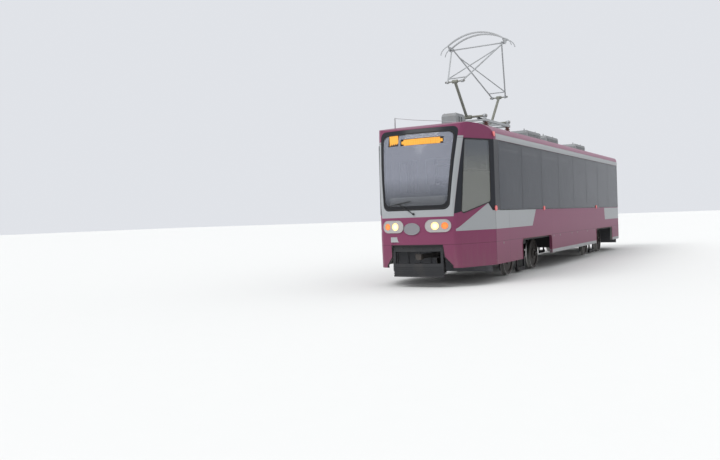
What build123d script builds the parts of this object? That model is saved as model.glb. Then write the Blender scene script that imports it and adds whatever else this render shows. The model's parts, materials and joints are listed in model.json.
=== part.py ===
from build123d import *
import math
import os

# Four-axle single tram car: a hollow body on two turning bogies, with a folding diamond pantograph.
# Millimetres. +X is the driving end, +Y the blind side, +Z up. The origin is on the floor, under the
# middle of the body, level with the lowest point of the wheel flanges.

# Overall body
HALF_WIDTH = 1250.0
SKIRT_Z = 380.0
WALL = 60.0
MASK_WALL = 45.0
CORNICE_Z = 2880.0
ROOF_SHOULDER = (1010.0, 3185.0)
SHOULDER_SHARE = 0.7
SHOULDER_BULGE = (42.0, 55.0)
ROOF_CROWN_Z = 3262.0
ROOF_WALL = 50.0
FRONT_JOINT_X = 6380.0
REAR_JOINT_X = -6110.0
END_X = 7550.0
FLOOR_Z = 890.0
FLOOR_THICK = 45.0
BEYOND = 1600.0

# Running gear
BOGIES = {"front": 3525.0, "rear": -3825.0}
AXLE_SPACING = 1940.0
TREAD_R = 355.0
FLANGE_H = 22.0
TYRE_WIDTH = 104.0
TYRE_DEPTH = 62.0
BACK_TO_BACK = 1474.0
AXLE_R = 72.0
AXLE_END_R = 58.0
AXLE_END_Y = 895.0
HUB_R = 130.0
WEB_T = 24.0
BEARING_GAP = 0.8
AXLE_Z = TREAD_R + FLANGE_H

# Bogie frame
BEAM_Y = (455.0, 585.0)
BEAM_TOP_Z = 590.0
BEAM_END_Z = 470.0
BEAM_LOW_Z = 350.0
BEAM_END_X = 1170.0
BEAM_DIP_Z = 500.0
AXLE_BOX_R = 125.0
TRANSOM_R = 60.0
TRANSOM_X = 330.0
TRANSOM_Z = 425.0
BOLSTER_HALF_X = 200.0
BOLSTER_HALF_Y = 715.0
BOLSTER_Z = (520.0, 640.0)
SPRING_R = 56.0
SPRING_WIRE_R = 13.0
SPRING_TURNS = 5
SPRING_Y = 650.0
SPRING_X = 110.0
SPRING_SEAT_Z = 360.0
SPRING_SEAT_T = 30.0
PIVOT_R = 60.0
PIVOT_LOW_Z = 530.0
PIVOT_SEAT_Z = 660.0
SIDE_BEARER_R = 75.0
SIDE_BEARER_T = 14.0
MOTOR_R = 165.0
MOTOR_X = 640.0
MOTOR_Z = 400.0
MOTOR_HALF_Y = 330.0
MOTOR_FOOT_X = 470.0
GEARCASE_R = 150.0
GEARCASE_Y = (110.0, 300.0)
SHOE_HALF_X = 300.0
SHOE_Y = (768.0, 828.0)
SHOE_Z = (34.0, 126.0)
HANGER_X = (238.0, 284.0)
HANGER_Z = (385.0, 410.0)

# Wheel wells
WELL_HALF = 1180.0
WELL_TOP_Z = 830.0
WELL_CORNER = 110.0

# Glazing band: side, front x, rear x, number of panes
BANDS = [
    (1, 6110.0, -6060.0, 8),
    (-1, 5070.0, 2230.0, 2),
    (-1, 610.0, -910.0, 1),
    (-1, -2530.0, -5030.0, 2),
]
PANE_Z = (1470.0, 2870.0)
PANE_JOINT = 12.0
PANE_REST = 48.0
PANE_CORNER = 70.0
GLASS_T = 8.0
SCREEN_T = 12.0

# Doors on the kerb side: name, centre x, leaf count, leaf width
DOORS = [
    ("door_front", 5600.0, 1, 850.0),
    ("door_middle_front", 1420.0, 2, 690.0),
    ("door_middle_rear", -1720.0, 2, 690.0),
    ("door_rear", -5560.0, 1, 850.0),
]
DOOR_Z = (430.0, 2820.0)
DOOR_T = 36.0
DOOR_SET = 3.0
DOOR_GAP = 8.0
DOOR_SILL_GAP = 0.3
DOOR_STILE = 60.0
DOOR_GLASS_Z = (960.0, 2660.0)
STEP_DEPTH = 270.0
STEP_PLATE = 12.0
STEP_COUNT = 2

# Ends: joint x, side taper in degrees, brow x, and sections from the bottom up as z, nose x, corner setback
FRONT_END = (FRONT_JOINT_X, 23.2, 7330.0, [
    (SKIRT_Z, 7440.0, 190.0),
    (860.0, 7530.0, 190.0),
    (1180.0, END_X, 190.0),
    (1640.0, 7540.0, 188.0),
    (2060.0, 7508.0, 186.0),
    (2460.0, 7450.0, 184.0),
    (2860.0, 7360.0, 182.0),
    (3330.0, 7230.0, 180.0),
])
REAR_END = (-REAR_JOINT_X, 16.5, 7400.0, [
    (SKIRT_Z, 7470.0, 160.0),
    (860.0, 7530.0, 160.0),
    (1180.0, END_X, 160.0),
    (1500.0, 7510.0, 150.0),
    (3330.0, 7360.0, 150.0),
])
CORNER_R = 95.0
CORNER_TURN = (0.62, 0.78)
DOME_EDGE_Z = 3095.0
DOME_LIP = 60.0
DOME_SAG = 52.0
DOME_REACH = 900.0
DOME_DROP = 320.0
NOSE_BACK = 100.0
NOSE_FLARE = 200.0

# Windscreen, rear window, cab windows and quarter windows
SCREEN_Z = (1530.0, 3030.0)
SCREEN_HALF = (690.0, 790.0)
SCREEN_CORNER = 120.0
REAR_SCREEN_Z = (1640.0, 2780.0)
REAR_SCREEN_HALF = (740.0, 760.0)
CAB_WINDOW = [(6500.0, 2860.0), (7130.0, 2860.0), (7262.0, 1412.0), (6500.0, 1640.0)]
QUARTER_WINDOW = [(6260.0, 2800.0), (7120.0, 2800.0), (7160.0, 1640.0), (6260.0, 1640.0)]
SIDE_CORNER = 60.0
WIPER_PIVOT_Z = 1440.0
WIPER_BLADE = [(-600.0, 1605.0), (-60.0, 1690.0)]

# Bumper recess in y and z, and the bumpers
RECESS = [(545.0, 830.0), (560.0, 600.0), (700.0, 430.0), (700.0, 300.0)]
BUMPER_HALF = 535.0
BUMPER_X = 7470.0
BUMPER_BOW = 45.0
BUMPER_DEPTH = 60.0
BUMPER_Z = (210.0, 470.0)
BUMPER_PANEL_Z = (705.0, 822.0)
BUMPER_PANEL_T = 45.0
BUMPER_POST = (485.0, 535.0)
BUMPER_RIBS = (255.0, 300.0, 345.0, 390.0)
RIB_DEPTH = 9.0
RIB_HALF = 9.0
BUMPER_STAY = (320.0, 390.0)

# Lamps: centre y, radius
LAMP_Z = 1200.0
LAMPS = {"white": (425.0, 80.0), "amber": (612.0, 70.0)}
TAIL_LAMPS = {"red": (440.0, 70.0), "amber": (600.0, 70.0)}
BEZEL_Y = 480.0
BEZEL_HALF = (245.0, 118.0)
BEZEL_PROUD = 12.0
LENS_GAP = 0.3
MARKER_R = 50.0
MARKER_T = 20.0
MARKERS = [(6370.0, 2985.0), (6370.0, 1506.0), (2960.0, 1485.0), (-2700.0, 1485.0)]

# Cab and saloon
PARTITION_X = 6060.0
PARTITION_T = 30.0
PARTITION_CLEAR = 62.0
PARTITION_WINDOWS = [(-1000.0, -560.0), (-380.0, 420.0), (560.0, 1000.0)]
PARTITION_WINDOW_Z = (1900.0, 2600.0)
DESK = [(6950.0, 1250.0), (7230.0, 1150.0), (7230.0, 890.0), (7520.0, 890.0), (7520.0, 1475.0),
        (7130.0, 1475.0), (6950.0, 1330.0)]
DISPLAY_X = 7090.0
DISPLAY_HALF = 690.0
DISPLAY_Z = (2800.0, 3065.0)
DRIVER_X = 6480.0
SEAT_PITCH = 790.0
SEAT_ROWS = 13
SEAT_FIRST_X = 4900.0
SEAT_WIDTH = 430.0
SEAT_WALL_GAP = 45.0
SEAT_GAP = 30.0
SEAT_LINE_Y = HALF_WIDTH - WALL - SEAT_WALL_GAP - SEAT_WIDTH / 2
SEAT_Y = [SEAT_LINE_Y, SEAT_LINE_Y - SEAT_WIDTH - SEAT_GAP, -SEAT_LINE_Y]
SEAT_PROFILE = [(0.0, 415.0), (0.0, 445.0), (390.0, 430.0), (455.0, 860.0), (490.0, 860.0), (425.0, 400.0)]
SEAT_POST = (150.0, 270.0, 424.0)
RAIL_R = 17.0
RAIL_Z = 2560.0
RAIL_STEP_GAP = 40.0
RAIL_LINE_Y = HALF_WIDTH - WALL - STEP_COUNT * STEP_DEPTH - RAIL_STEP_GAP
POLE_X = [5050.0, 3470.0, 1890.0, 310.0, -1270.0, -2850.0, -4430.0]

# Underframe
SILL_WIDTH = 100.0
SILL_Y = (HALF_WIDTH - WALL - SILL_WIDTH, HALF_WIDTH - WALL)
CENTRE_SILL_Y = (280.0, 360.0)
UNDERFRAME_Z = 780.0
CROSS_HALF = 35.0
CROSS_PITCH = 1225.0
BODY_BOLSTER_HALF = 160.0
BODY_BOLSTER_Y = 900.0

# Equipment boxes under the floor: front x, rear x, lower z
EQUIPMENT = [
    (1750.0, 950.0, 480.0),
    (850.0, -150.0, 440.0),
    (-250.0, -900.0, 520.0),
    (-1000.0, -1950.0, 480.0),
]
EQUIPMENT_STEP_GAP = 90.0
EQUIPMENT_SILL_GAP = 50.0
EQUIPMENT_Y = (STEP_COUNT * STEP_DEPTH + EQUIPMENT_STEP_GAP - SILL_Y[1], SILL_Y[0] - EQUIPMENT_SILL_GAP)

# Roof equipment: rear x, front x, and for the front box also half width and top z
ROOF_GEAR = (5130.0, 5650.0, 165.0, 3590.0)
RESISTOR_BOXES = [(600.0, 1900.0), (-1150.0, 150.0), (-4500.0, -3200.0)]
RESISTOR_HALF = 560.0
RESISTOR_TOP_Z = 3500.0
ROOF_BOX_SLOPE = 60.0
SLOT_PITCH = 130.0
SLOT_WIDTH = 60.0
SLOT_DEPTH = 25.0
SLOT_LOW_Z = ROOF_CROWN_Z + 40.0

# Pantograph
PAN_X = 3770.0
PAN_BASE_HALF = 805.0
PAN_SHAFT_Z = 3610.0
PAN_LOWER = 970.0
PAN_UPPER = 1777.0
PAN_ANGLE = 48.5
PAN_EYE_Y = (150.0, 195.0)
PAN_RAIL_Y = 430.0
PAN_RAIL_HALF = 28.0
PAN_FRAME_Z = (3490.0, 3545.0)
PAN_SHAFT_R = 24.0
PAN_LOWER_R = 32.0
PAN_UPPER_R = 17.0
PAN_BRACE_R = 13.0
PAN_PIN_R = 15.0
PAN_EYE_R = 34.0
PAN_OPEN_GAP = 6.0
PAN_STRIP_X = 130.0
PAN_STRIP_HALF = (26.0, 14.0)
PAN_STRIP_Z = 95.0
PAN_ARCH = 225.0
PAN_HORN_Y = 880.0
PAN_HORN_DROP = 190.0
PAN_HORN_R = 11.0
PAN_INNER_EYE = (592.0, 618.0)
PAN_OUTER_EYE = (636.0, 662.0)
INSULATOR_R = (38.0, 62.0)
INSULATOR_SHEDS = 5

# Coupler
COUPLER_Z = 600.0
COUPLER_X = 6560.0
COUPLER_TIP_X = 7400.0
COUPLER_PIN_R = 20.0
COUPLER_PIN_GAP = 0.5
COUPLER_EYE_R = 52.0
COUPLER_HALF_H = 40.0
COUPLER_HALF_W = 36.0
COUPLER_HEAD_X = 7260.0
COUPLER_HEAD_HALF = 62.0
FORK_HALF_Y = 90.0
FORK_T = 28.0
FORK_GAP = 3.0

os.makedirs("parts", exist_ok=True)


def box(x0, x1, y0, y1, z0, z1):
    """Box between two corners."""
    return Pos((x0 + x1) / 2, (y0 + y1) / 2, (z0 + z1) / 2) * Box(abs(x1 - x0), abs(y1 - y0), abs(z1 - z0))


def rod(a, b, r):
    """Round bar from point a to point b."""
    line = Vector(*b) - Vector(*a)
    return Part() + Solid.make_cylinder(r, line.length, Plane(origin=a, z_dir=line))


def tube_y(x, z, y0, y1, r):
    """Round bar across the car."""
    return rod((x, y0, z), (x, y1, z), r)


def disc(x, y, z0, z1, r):
    """Upright round bar."""
    return rod((x, y, z0), (x, y, z1), r)


def face_of(points, radius):
    """Flat face through corner points, its corners rounded where a radius is given."""
    face = make_face(Polyline(*points, close=True)).face()
    return face.fillet_2d(radius, face.vertices()) if radius else face


def side_prism(points, y0, y1, radius=0.0):
    """Outline drawn in x and z, made solid between two y values."""
    low, high = sorted((y0, y1))
    face = face_of([(x, low, z) for x, z in points], radius)
    return extrude(face, amount=high - low, dir=(0, 1, 0))


def front_prism(points, x0, x1, radius=0.0):
    """Outline drawn in y and z, made solid between two x values."""
    face = face_of([(x0, y, z) for y, z in points], radius)
    return extrude(face, amount=x1 - x0, dir=(1, 0, 0))


def plan_prism(edges, z0, z1):
    """Closed outline of edges drawn at z0 in plan, made solid up to z1."""
    return extrude(make_face(Wire(edges)), amount=z1 - z0, dir=(0, 0, 1))


def rect(x0, x1, z0, z1):
    """Corners of an upright rectangle."""
    return [(x0, z0), (x1, z0), (x1, z1), (x0, z1)]


def fuse(pieces):
    """One shape from many."""
    return Part() + list(pieces)


def group(pieces):
    """Separate solids kept side by side."""
    return Compound([solid for piece in pieces for solid in piece.solids()])


def turned(profile, x, z):
    """Profile of radius and y, turned about the cross axis at x and z."""
    face = face_of([(x + r, y, z) for r, y in profile], 0.0)
    return revolve(face, Axis((x, 0, z), (0, 1, 0)), 360)


def both_sides(piece):
    """A piece and its mirror image across the car's centre plane."""
    return [piece, mirror(piece, about=Plane.XZ)]


def to_rear(piece):
    """The same piece at the other end of the car."""
    return mirror(piece, about=Plane.YZ)


def save(name, shape):
    """Write one named piece."""
    export_step(shape, f"parts/{name}.step")


def roof_arcs(inset):
    """Three arcs of the roof line from cornice to cornice, taken in by inset."""
    y, z = HALF_WIDTH - inset, CORNICE_Z
    ys, zs = ROOF_SHOULDER[0] - inset * SHOULDER_SHARE, ROOF_SHOULDER[1] - inset
    my, mz = y - SHOULDER_BULGE[0], (z + zs) / 2 + SHOULDER_BULGE[1]
    return [
        ThreePointArc((0, y, z), (0, my, mz), (0, ys, zs)),
        ThreePointArc((0, ys, zs), (0, 0, ROOF_CROWN_Z - inset), (0, -ys, zs)),
        ThreePointArc((0, -ys, zs), (0, -my, mz), (0, -y, z)),
    ]


def roof_bar(inset, x0, x1):
    """Solid bar under the roof line, flat at the cornice."""
    y = HALF_WIDTH - inset
    face = make_face(Wire(roof_arcs(inset) + [Line((0, -y, CORNICE_Z), (0, y, CORNICE_Z))]))
    return Pos(x0, 0, 0) * extrude(face, amount=x1 - x0, dir=(1, 0, 0))


def body_bar(inset, x0, x1, low_z=0.0, flare=0.0):
    """Solid bar of the whole body section, wider by a flare below the cornice."""
    y = HALF_WIDTH - inset
    w = y + flare
    corners = [(0, -y, CORNICE_Z), (0, -w, CORNICE_Z), (0, -w, low_z), (0, w, low_z),
               (0, w, CORNICE_Z), (0, y, CORNICE_Z)]
    lines = [Line(a, b) for a, b in zip(corners, corners[1:]) if a != b]
    face = make_face(Wire(roof_arcs(inset) + lines))
    return Pos(x0, 0, 0) * extrude(face, amount=x1 - x0, dir=(1, 0, 0))


def nose_side_y(end, x, inset=0.0):
    """Half width of the tapered side at x."""
    taper = math.radians(end[1])
    return HALF_WIDTH - inset / math.cos(taper) - (x - end[0]) * math.tan(taper)


def nose_outline(end, section, inset):
    """Plan outline of one nose section: tapered sides, rounded corners and a bowed front."""
    z, nose, setback = section
    corner_x = nose - setback - inset
    start = Vector(end[0], nose_side_y(end, end[0], inset), z)
    corner = Vector(corner_x, nose_side_y(end, corner_x, inset), z)
    along = (corner - start).normalized()
    p = corner - along * CORNER_R
    q = Vector(corner.X + CORNER_R * CORNER_TURN[0], corner.Y - CORNER_R * CORNER_TURN[1], z)
    tip = Vector(nose - inset, 0, z)

    def flip(v):
        return Vector(v.X, -v.Y, v.Z)

    edges = [
        Edge.make_line(start, p),
        Edge.make_tangent_arc(p, along, q),
        Edge.make_three_point_arc(q, tip, flip(q)),
        Edge.make_tangent_arc(flip(p), flip(along), flip(q)),
        Edge.make_line(flip(p), flip(start)),
        Edge.make_line(flip(start), start),
    ]
    return Wire(edges)


def nose_solid(end, inset):
    """Closed end form, lofted through its sections and trimmed to the roof dome."""
    joint_x, _, brow_x, sections = end
    loft = Solid.make_loft([nose_outline(end, s, inset) for s in sections], ruled=True)
    edge_x = brow_x - inset + DOME_LIP
    edge_z = DOME_EDGE_Z - inset
    crown = ROOF_CROWN_Z - inset
    back_x = joint_x - 3 * NOSE_BACK
    far_x = edge_x + DOME_REACH
    profile = Wire(
        [
            Line((back_x, 0, 0), (far_x, 0, 0)),
            Line((far_x, 0, 0), (far_x, 0, edge_z - DOME_DROP)),
            Line((far_x, 0, edge_z - DOME_DROP), (edge_x, 0, edge_z)),
            ThreePointArc(
                (edge_x, 0, edge_z),
                ((joint_x + edge_x) / 2 + DOME_LIP, 0, crown - DOME_SAG),
                (joint_x, 0, crown),
            ),
            Line((joint_x, 0, crown), (back_x, 0, crown)),
            Line((back_x, 0, crown), (back_x, 0, 0)),
        ]
    )
    dome = Pos(0, -BEYOND, 0) * extrude(make_face(profile), amount=2 * BEYOND, dir=(0, 1, 0))
    return loft & (body_bar(inset, joint_x - NOSE_BACK, joint_x + BEYOND, 0.0, NOSE_FLARE) & dome)


def nose_x(end, y, z):
    """Outer x of the nose at a point of its front, from the arcs of the two nearest sections."""
    sections = end[3]
    for low, high in zip(sections, sections[1:]):
        if low[0] <= z <= high[0]:
            share = (z - low[0]) / (high[0] - low[0])
            _, nose, setback = [a + (b - a) * share for a, b in zip(low, high)]
            side = nose_side_y(end, nose - setback) - CORNER_R * CORNER_TURN[1]
            sag = setback - CORNER_R * CORNER_TURN[0]
            radius = (side**2 + sag**2) / (2 * sag)
            return nose - radius + math.sqrt(radius**2 - y**2)
    return sections[-1][1]


def screen_outline(z_range, half):
    """Corners of a front or rear window in y and z."""
    low, top = z_range
    return [(-half[0], low), (half[0], low), (half[1], top), (-half[1], top)]


def slot_outline(y, z, half):
    """Oblong with round ends, drawn across the car and made solid along it."""
    flat = half[0] - half[1]
    bar = box(0, END_X + BEYOND, y - flat, y + flat, z - half[1], z + half[1])
    ends = [rod((0, y + s * flat, z), (END_X + BEYOND, y + s * flat, z), half[1]) for s in (-1, 1)]
    return fuse([bar] + ends)


def door_spans():
    """Rear and front x of each door opening."""
    for _, x, leaves, width in DOORS:
        half = leaves * width / 2 + DOOR_GAP
        yield x - half, x + half


def pane_spans(side):
    """Front and rear x of each pane on one side."""
    for band_side, start, end, count in BANDS:
        pitch = (start - end) / count
        for i in range(count if band_side == side else 0):
            yield start - i * pitch - PANE_JOINT / 2, start - (i + 1) * pitch + PANE_JOINT / 2


def side_wall(side):
    """Flat wall with wheel wells, sunk glazing bands, windows, and door openings on the kerb side."""
    inner, outer = side * (HALF_WIDTH - WALL), side * HALF_WIDTH
    wall = box(REAR_JOINT_X, FRONT_JOINT_X, inner, outer, SKIRT_Z, CORNICE_Z)
    through = (inner - side, outer + side)
    tools = []
    for x in BOGIES.values():
        well = rect(x - WELL_HALF, x + WELL_HALF, SKIRT_Z - BEYOND, WELL_TOP_Z)
        tools.append(side_prism(well, *through, WELL_CORNER))
    for band_side, start, end, _ in BANDS:
        if band_side == side:
            tools.append(box(end, start, side * (HALF_WIDTH - GLASS_T), through[1], *PANE_Z))
    for front, rear in pane_spans(side):
        hole = rect(rear + PANE_REST, front - PANE_REST, PANE_Z[0] + PANE_REST, PANE_Z[1] - PANE_REST)
        tools.append(side_prism(hole, *through, PANE_CORNER))
    if side < 0:
        for rear, front in door_spans():
            tools.append(box(rear, front, *through, DOOR_Z[0] - DOOR_SILL_GAP, DOOR_Z[1] + DOOR_GAP))
    return wall - tools


def side_glass(side):
    """Panes of one side, set flush in the sunk band."""
    sunk, outer = side * (HALF_WIDTH - GLASS_T), side * HALF_WIDTH
    return group([box(rear, front, sunk, outer, *PANE_Z) for front, rear in pane_spans(side)])


def door_leaves(x, leaves, width):
    """Leaves of one doorway, and the panes in them."""
    out_y = -(HALF_WIDTH - DOOR_SET)
    in_y = out_y + DOOR_T
    panels, panes = [], []
    for i in range(leaves):
        x0 = x - leaves * width / 2 + i * width + DOOR_GAP / 2
        x1 = x0 + width - DOOR_GAP
        pane = box(x0 + DOOR_STILE, x1 - DOOR_STILE, out_y, out_y + GLASS_T, *DOOR_GLASS_Z)
        rest = DOOR_STILE + PANE_REST / 2
        hole = rect(x0 + rest, x1 - rest, DOOR_GLASS_Z[0] + PANE_REST, DOOR_GLASS_Z[1] - PANE_REST)
        panel = box(x0, x1, out_y, in_y, *DOOR_Z)
        panels.append(panel - [pane, side_prism(hole, out_y - 1, in_y + 1, PANE_CORNER)])
        panes.append(pane)
    return panels, panes


def stair_y(steps):
    """Y of the inner edge after a number of steps from the doorway."""
    return -(HALF_WIDTH - WALL) + steps * STEP_DEPTH


def step_space(rear, front, side_clear, top):
    """Space of one entrance stair, open down to the ground."""
    return box(rear - side_clear, front + side_clear, -HALF_WIDTH, stair_y(STEP_COUNT), 0, top)


def stair(rear, front):
    """Treads, risers and end plates of one entrance."""
    rise = (FLOOR_Z - DOOR_Z[0]) / STEP_COUNT
    plates = []
    profile = [(stair_y(0), DOOR_Z[0])]
    for i in range(STEP_COUNT):
        y0, y1, z0 = stair_y(i), stair_y(i + 1), DOOR_Z[0] + i * rise
        plates.append(box(rear, front, y0, y1, z0, z0 + STEP_PLATE))
        plates.append(box(rear, front, y1 - STEP_PLATE, y1, z0, min(z0 + rise + STEP_PLATE, FLOOR_Z)))
        profile += [(y1, z0), (y1, z0 + rise)]
    profile.append((stair_y(0), FLOOR_Z))
    return plates + [front_prism(profile, x, x + STEP_PLATE) for x in (rear, front - STEP_PLATE)]


def floor_panels(front_core, rear_core):
    """Floor panels between the entrances, and those that follow the inside of both end masks."""
    low = FLOOR_Z - FLOOR_THICK
    inner = HALF_WIDTH - WALL
    reach = END_X - 4 * MASK_WALL
    edge = stair_y(STEP_COUNT)
    panels = [
        box(REAR_JOINT_X, FRONT_JOINT_X, edge, inner, low, FLOOR_Z),
        front_core & box(FRONT_JOINT_X, reach, -inner, inner, low, FLOOR_Z),
        to_rear(rear_core & box(-REAR_JOINT_X, reach, -inner, inner, low, FLOOR_Z)),
    ]
    ends = [REAR_JOINT_X] + [x for span in sorted(door_spans()) for x in span] + [FRONT_JOINT_X]
    return panels + [box(ends[i], ends[i + 1], -inner, edge, low, FLOOR_Z) for i in range(0, len(ends), 2)]


def draft_gear(sign, back):
    """Bracket, two fork plates and the upright pin of a coupler."""
    throat = sign * (COUPLER_X - 2 * COUPLER_EYE_R)
    tip = sign * (COUPLER_X + COUPLER_EYE_R)
    pin_x = sign * COUPLER_X
    low, high = COUPLER_Z - COUPLER_HALF_H - FORK_GAP, COUPLER_Z + COUPLER_HALF_H + FORK_GAP
    y = FORK_HALF_Y
    return fuse([
        box(back, throat, -y, y, low - FORK_T, UNDERFRAME_Z),
        box(throat, tip, -y, y, high, high + FORK_T),
        box(throat, tip, -y, y, low - FORK_T, low),
        disc(pin_x, 0, low - 1, high + 1, COUPLER_PIN_R),
    ])


def build_underframe():
    """Side sills, centre sills, cross members and bumper stays, open at the entrances."""
    top = FLOOR_Z - FLOOR_THICK
    rear_x, front_x = REAR_JOINT_X + WALL, FRONT_JOINT_X - WALL
    stay_x = BUMPER_X - BUMPER_BOW - BUMPER_PANEL_T
    pieces = []
    for side in (-1, 1):
        for low_y, high_y in (SILL_Y, CENTRE_SILL_Y):
            pieces.append(box(rear_x, front_x, side * low_y, side * high_y, UNDERFRAME_Z, top))
        for start, end in ((front_x - WALL, stay_x), (-stay_x, rear_x + WALL)):
            pieces.append(box(start, end, side * BUMPER_STAY[0], side * BUMPER_STAY[1], BUMPER_PANEL_Z[0], top))
    count = round((front_x - rear_x) / CROSS_PITCH)
    pitch = (front_x - rear_x - 2 * CROSS_HALF) / count
    for i in range(count + 1):
        x = rear_x + CROSS_HALF + i * pitch
        pieces.append(box(x - CROSS_HALF, x + CROSS_HALF, -SILL_Y[1], SILL_Y[1], UNDERFRAME_Z, top))
    return fuse(pieces) - [step_space(rear, front, STEP_PLATE, top + 1) for rear, front in door_spans()]


def build_underbody():
    """Underframe with the bolsters, centre pins and draft gear under it."""
    half, y = BODY_BOLSTER_HALF, BODY_BOLSTER_Y
    rear_x, front_x = REAR_JOINT_X + 2 * WALL, FRONT_JOINT_X - 2 * WALL
    bolsters = [box(x - half, x + half, -y, y, PIVOT_SEAT_Z, UNDERFRAME_Z) for x in BOGIES.values()]
    pins = [disc(x, 0, PIVOT_LOW_Z, PIVOT_SEAT_Z, PIVOT_R) for x in BOGIES.values()]
    save("underframe", build_underframe())
    save("body_bolsters", group(bolsters + pins))
    save("draft_gear", group([draft_gear(1, front_x), draft_gear(-1, rear_x)]))
    save("underfloor_boxes", group([box(rear, front, *EQUIPMENT_Y, low, UNDERFRAME_Z)
                                    for front, rear, low in EQUIPMENT]))


def bumper_bar(depth, z0, z1, inset=0.0):
    """Bar bowed in plan, its front and ends taken in by inset."""
    edge_x, tip_x = BUMPER_X - BUMPER_BOW - inset, BUMPER_X - inset
    back_x = BUMPER_X - BUMPER_BOW - depth
    half = BUMPER_HALF - inset
    edges = [
        ThreePointArc((edge_x, -half, z0), (tip_x, 0, z0), (edge_x, half, z0)),
        Line((edge_x, half, z0), (back_x, half, z0)),
        Line((back_x, half, z0), (back_x, -half, z0)),
        Line((back_x, -half, z0), (edge_x, -half, z0)),
    ]
    return plan_prism(edges, z0, z1)


def bumper():
    """Ribbed lower beam, upper panel and two posts."""
    edge_x = BUMPER_X - BUMPER_BOW
    slots = []
    for z in BUMPER_RIBS:
        low, high = z - RIB_HALF, z + RIB_HALF
        slots.append(bumper_bar(BUMPER_DEPTH, low, high) - bumper_bar(BUMPER_DEPTH, low, high, RIB_DEPTH))
    posts = [box(edge_x - BUMPER_PANEL_T, edge_x, s * BUMPER_POST[0], s * BUMPER_POST[1],
                 BUMPER_Z[1] - 1, BUMPER_PANEL_Z[0] + 1) for s in (-1, 1)]
    beam = bumper_bar(BUMPER_DEPTH, *BUMPER_Z) - slots
    return fuse([beam, bumper_bar(BUMPER_PANEL_T, *BUMPER_PANEL_Z)] + posts)


def coupler():
    """Bar with an eye at the pivot and a bored head."""
    low, high = COUPLER_Z - COUPLER_HALF_H, COUPLER_Z + COUPLER_HALF_H
    head = COUPLER_HEAD_HALF
    flare = [(COUPLER_HEAD_X, low), (COUPLER_TIP_X, COUPLER_Z - head),
             (COUPLER_TIP_X, COUPLER_Z + head), (COUPLER_HEAD_X, high)]
    body = fuse([
        disc(COUPLER_X, 0, low, high, COUPLER_EYE_R),
        box(COUPLER_X, COUPLER_HEAD_X, -COUPLER_HALF_W, COUPLER_HALF_W, low, high),
        side_prism(flare, -head, head),
    ])
    return body - [
        disc(COUPLER_X, 0, low - 1, high + 1, COUPLER_PIN_R + COUPLER_PIN_GAP),
        disc(COUPLER_TIP_X - head, 0, COUPLER_Z - 2 * head, COUPLER_Z + 2 * head, COUPLER_PIN_R),
    ]


def wheelset(x):
    """Axle with both wheels, turned in one profile."""
    back = BACK_TO_BACK / 2
    face = back + TYRE_WIDTH
    mid = (back + face) / 2 + WEB_T / 2
    rim = TREAD_R - TYRE_DEPTH
    top = TREAD_R + FLANGE_H
    half = [
        (AXLE_R, back - 25), (HUB_R, back - 15), (HUB_R, mid - WEB_T), (rim, mid - WEB_T / 2),
        (rim, back), (top - 8, back), (top, back + 8), (top, back + 14), (TREAD_R + 4, back + 30),
        (TREAD_R, back + 36), (TREAD_R - 3, face), (rim, face), (rim, mid + WEB_T / 2),
        (HUB_R, mid + WEB_T), (HUB_R, face + 8), (AXLE_END_R, face + 18), (AXLE_END_R, AXLE_END_Y),
    ]
    profile = [(0, -AXLE_END_Y)] + [(r, -y) for r, y in reversed(half)] + half + [(0, AXLE_END_Y)]
    return turned(profile, x, AXLE_Z)


def bogie_frame(x):
    """Two cranked side beams with axle boxes and spring seats, joined by two round transoms."""
    end, top, low = BEAM_END_X, BEAM_TOP_Z, BEAM_LOW_Z
    beam = [
        (-end, BEAM_END_Z), (-end, top), (-430, top), (-270, BEAM_DIP_Z), (270, BEAM_DIP_Z), (430, top),
        (end, top), (end, BEAM_END_Z), (760, BEAM_END_Z), (600, low), (-600, low), (-760, BEAM_END_Z),
    ]
    beam = [(x + px, pz) for px, pz in beam]
    axles = [x + s * AXLE_SPACING / 2 for s in (-1, 1)]
    pieces = []
    for side in (-1, 1):
        y0, y1 = side * BEAM_Y[0], side * BEAM_Y[1]
        pieces.append(side_prism(beam, y0, y1, 25.0))
        pieces += [tube_y(a, AXLE_Z, y0, y1, AXLE_BOX_R) for a in axles]
        pieces.append(box(x - BOLSTER_HALF_X, x + BOLSTER_HALF_X, y1 - side, side * BOLSTER_HALF_Y,
                          SPRING_SEAT_Z - SPRING_SEAT_T, SPRING_SEAT_Z))
        tx = x + side * TRANSOM_X
        pieces.append(tube_y(tx, TRANSOM_Z, -BEAM_Y[0] - 1, BEAM_Y[0] + 1, TRANSOM_R))
        pieces.append(box(tx, x + side * MOTOR_FOOT_X, -180, 180, TRANSOM_Z - 45, TRANSOM_Z + 45))
    reach = BEAM_Y[1] + 1
    return fuse(pieces) - [tube_y(a, AXLE_Z, -reach, reach, AXLE_R + BEARING_GAP) for a in axles]


def spring(x, y):
    """Coil spring as a core with rings, between its seat and the bolster."""
    low, high = SPRING_SEAT_Z, BOLSTER_Z[0]
    pitch = (high - low) / SPRING_TURNS
    pieces = [disc(x, y, low, high, SPRING_R - 2 * SPRING_WIRE_R)]
    for i in range(SPRING_TURNS):
        z = low + pitch * (i + 0.5)
        pieces.append(disc(x, y, z - SPRING_WIRE_R, z + SPRING_WIRE_R, SPRING_R))
    return fuse(pieces)


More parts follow.
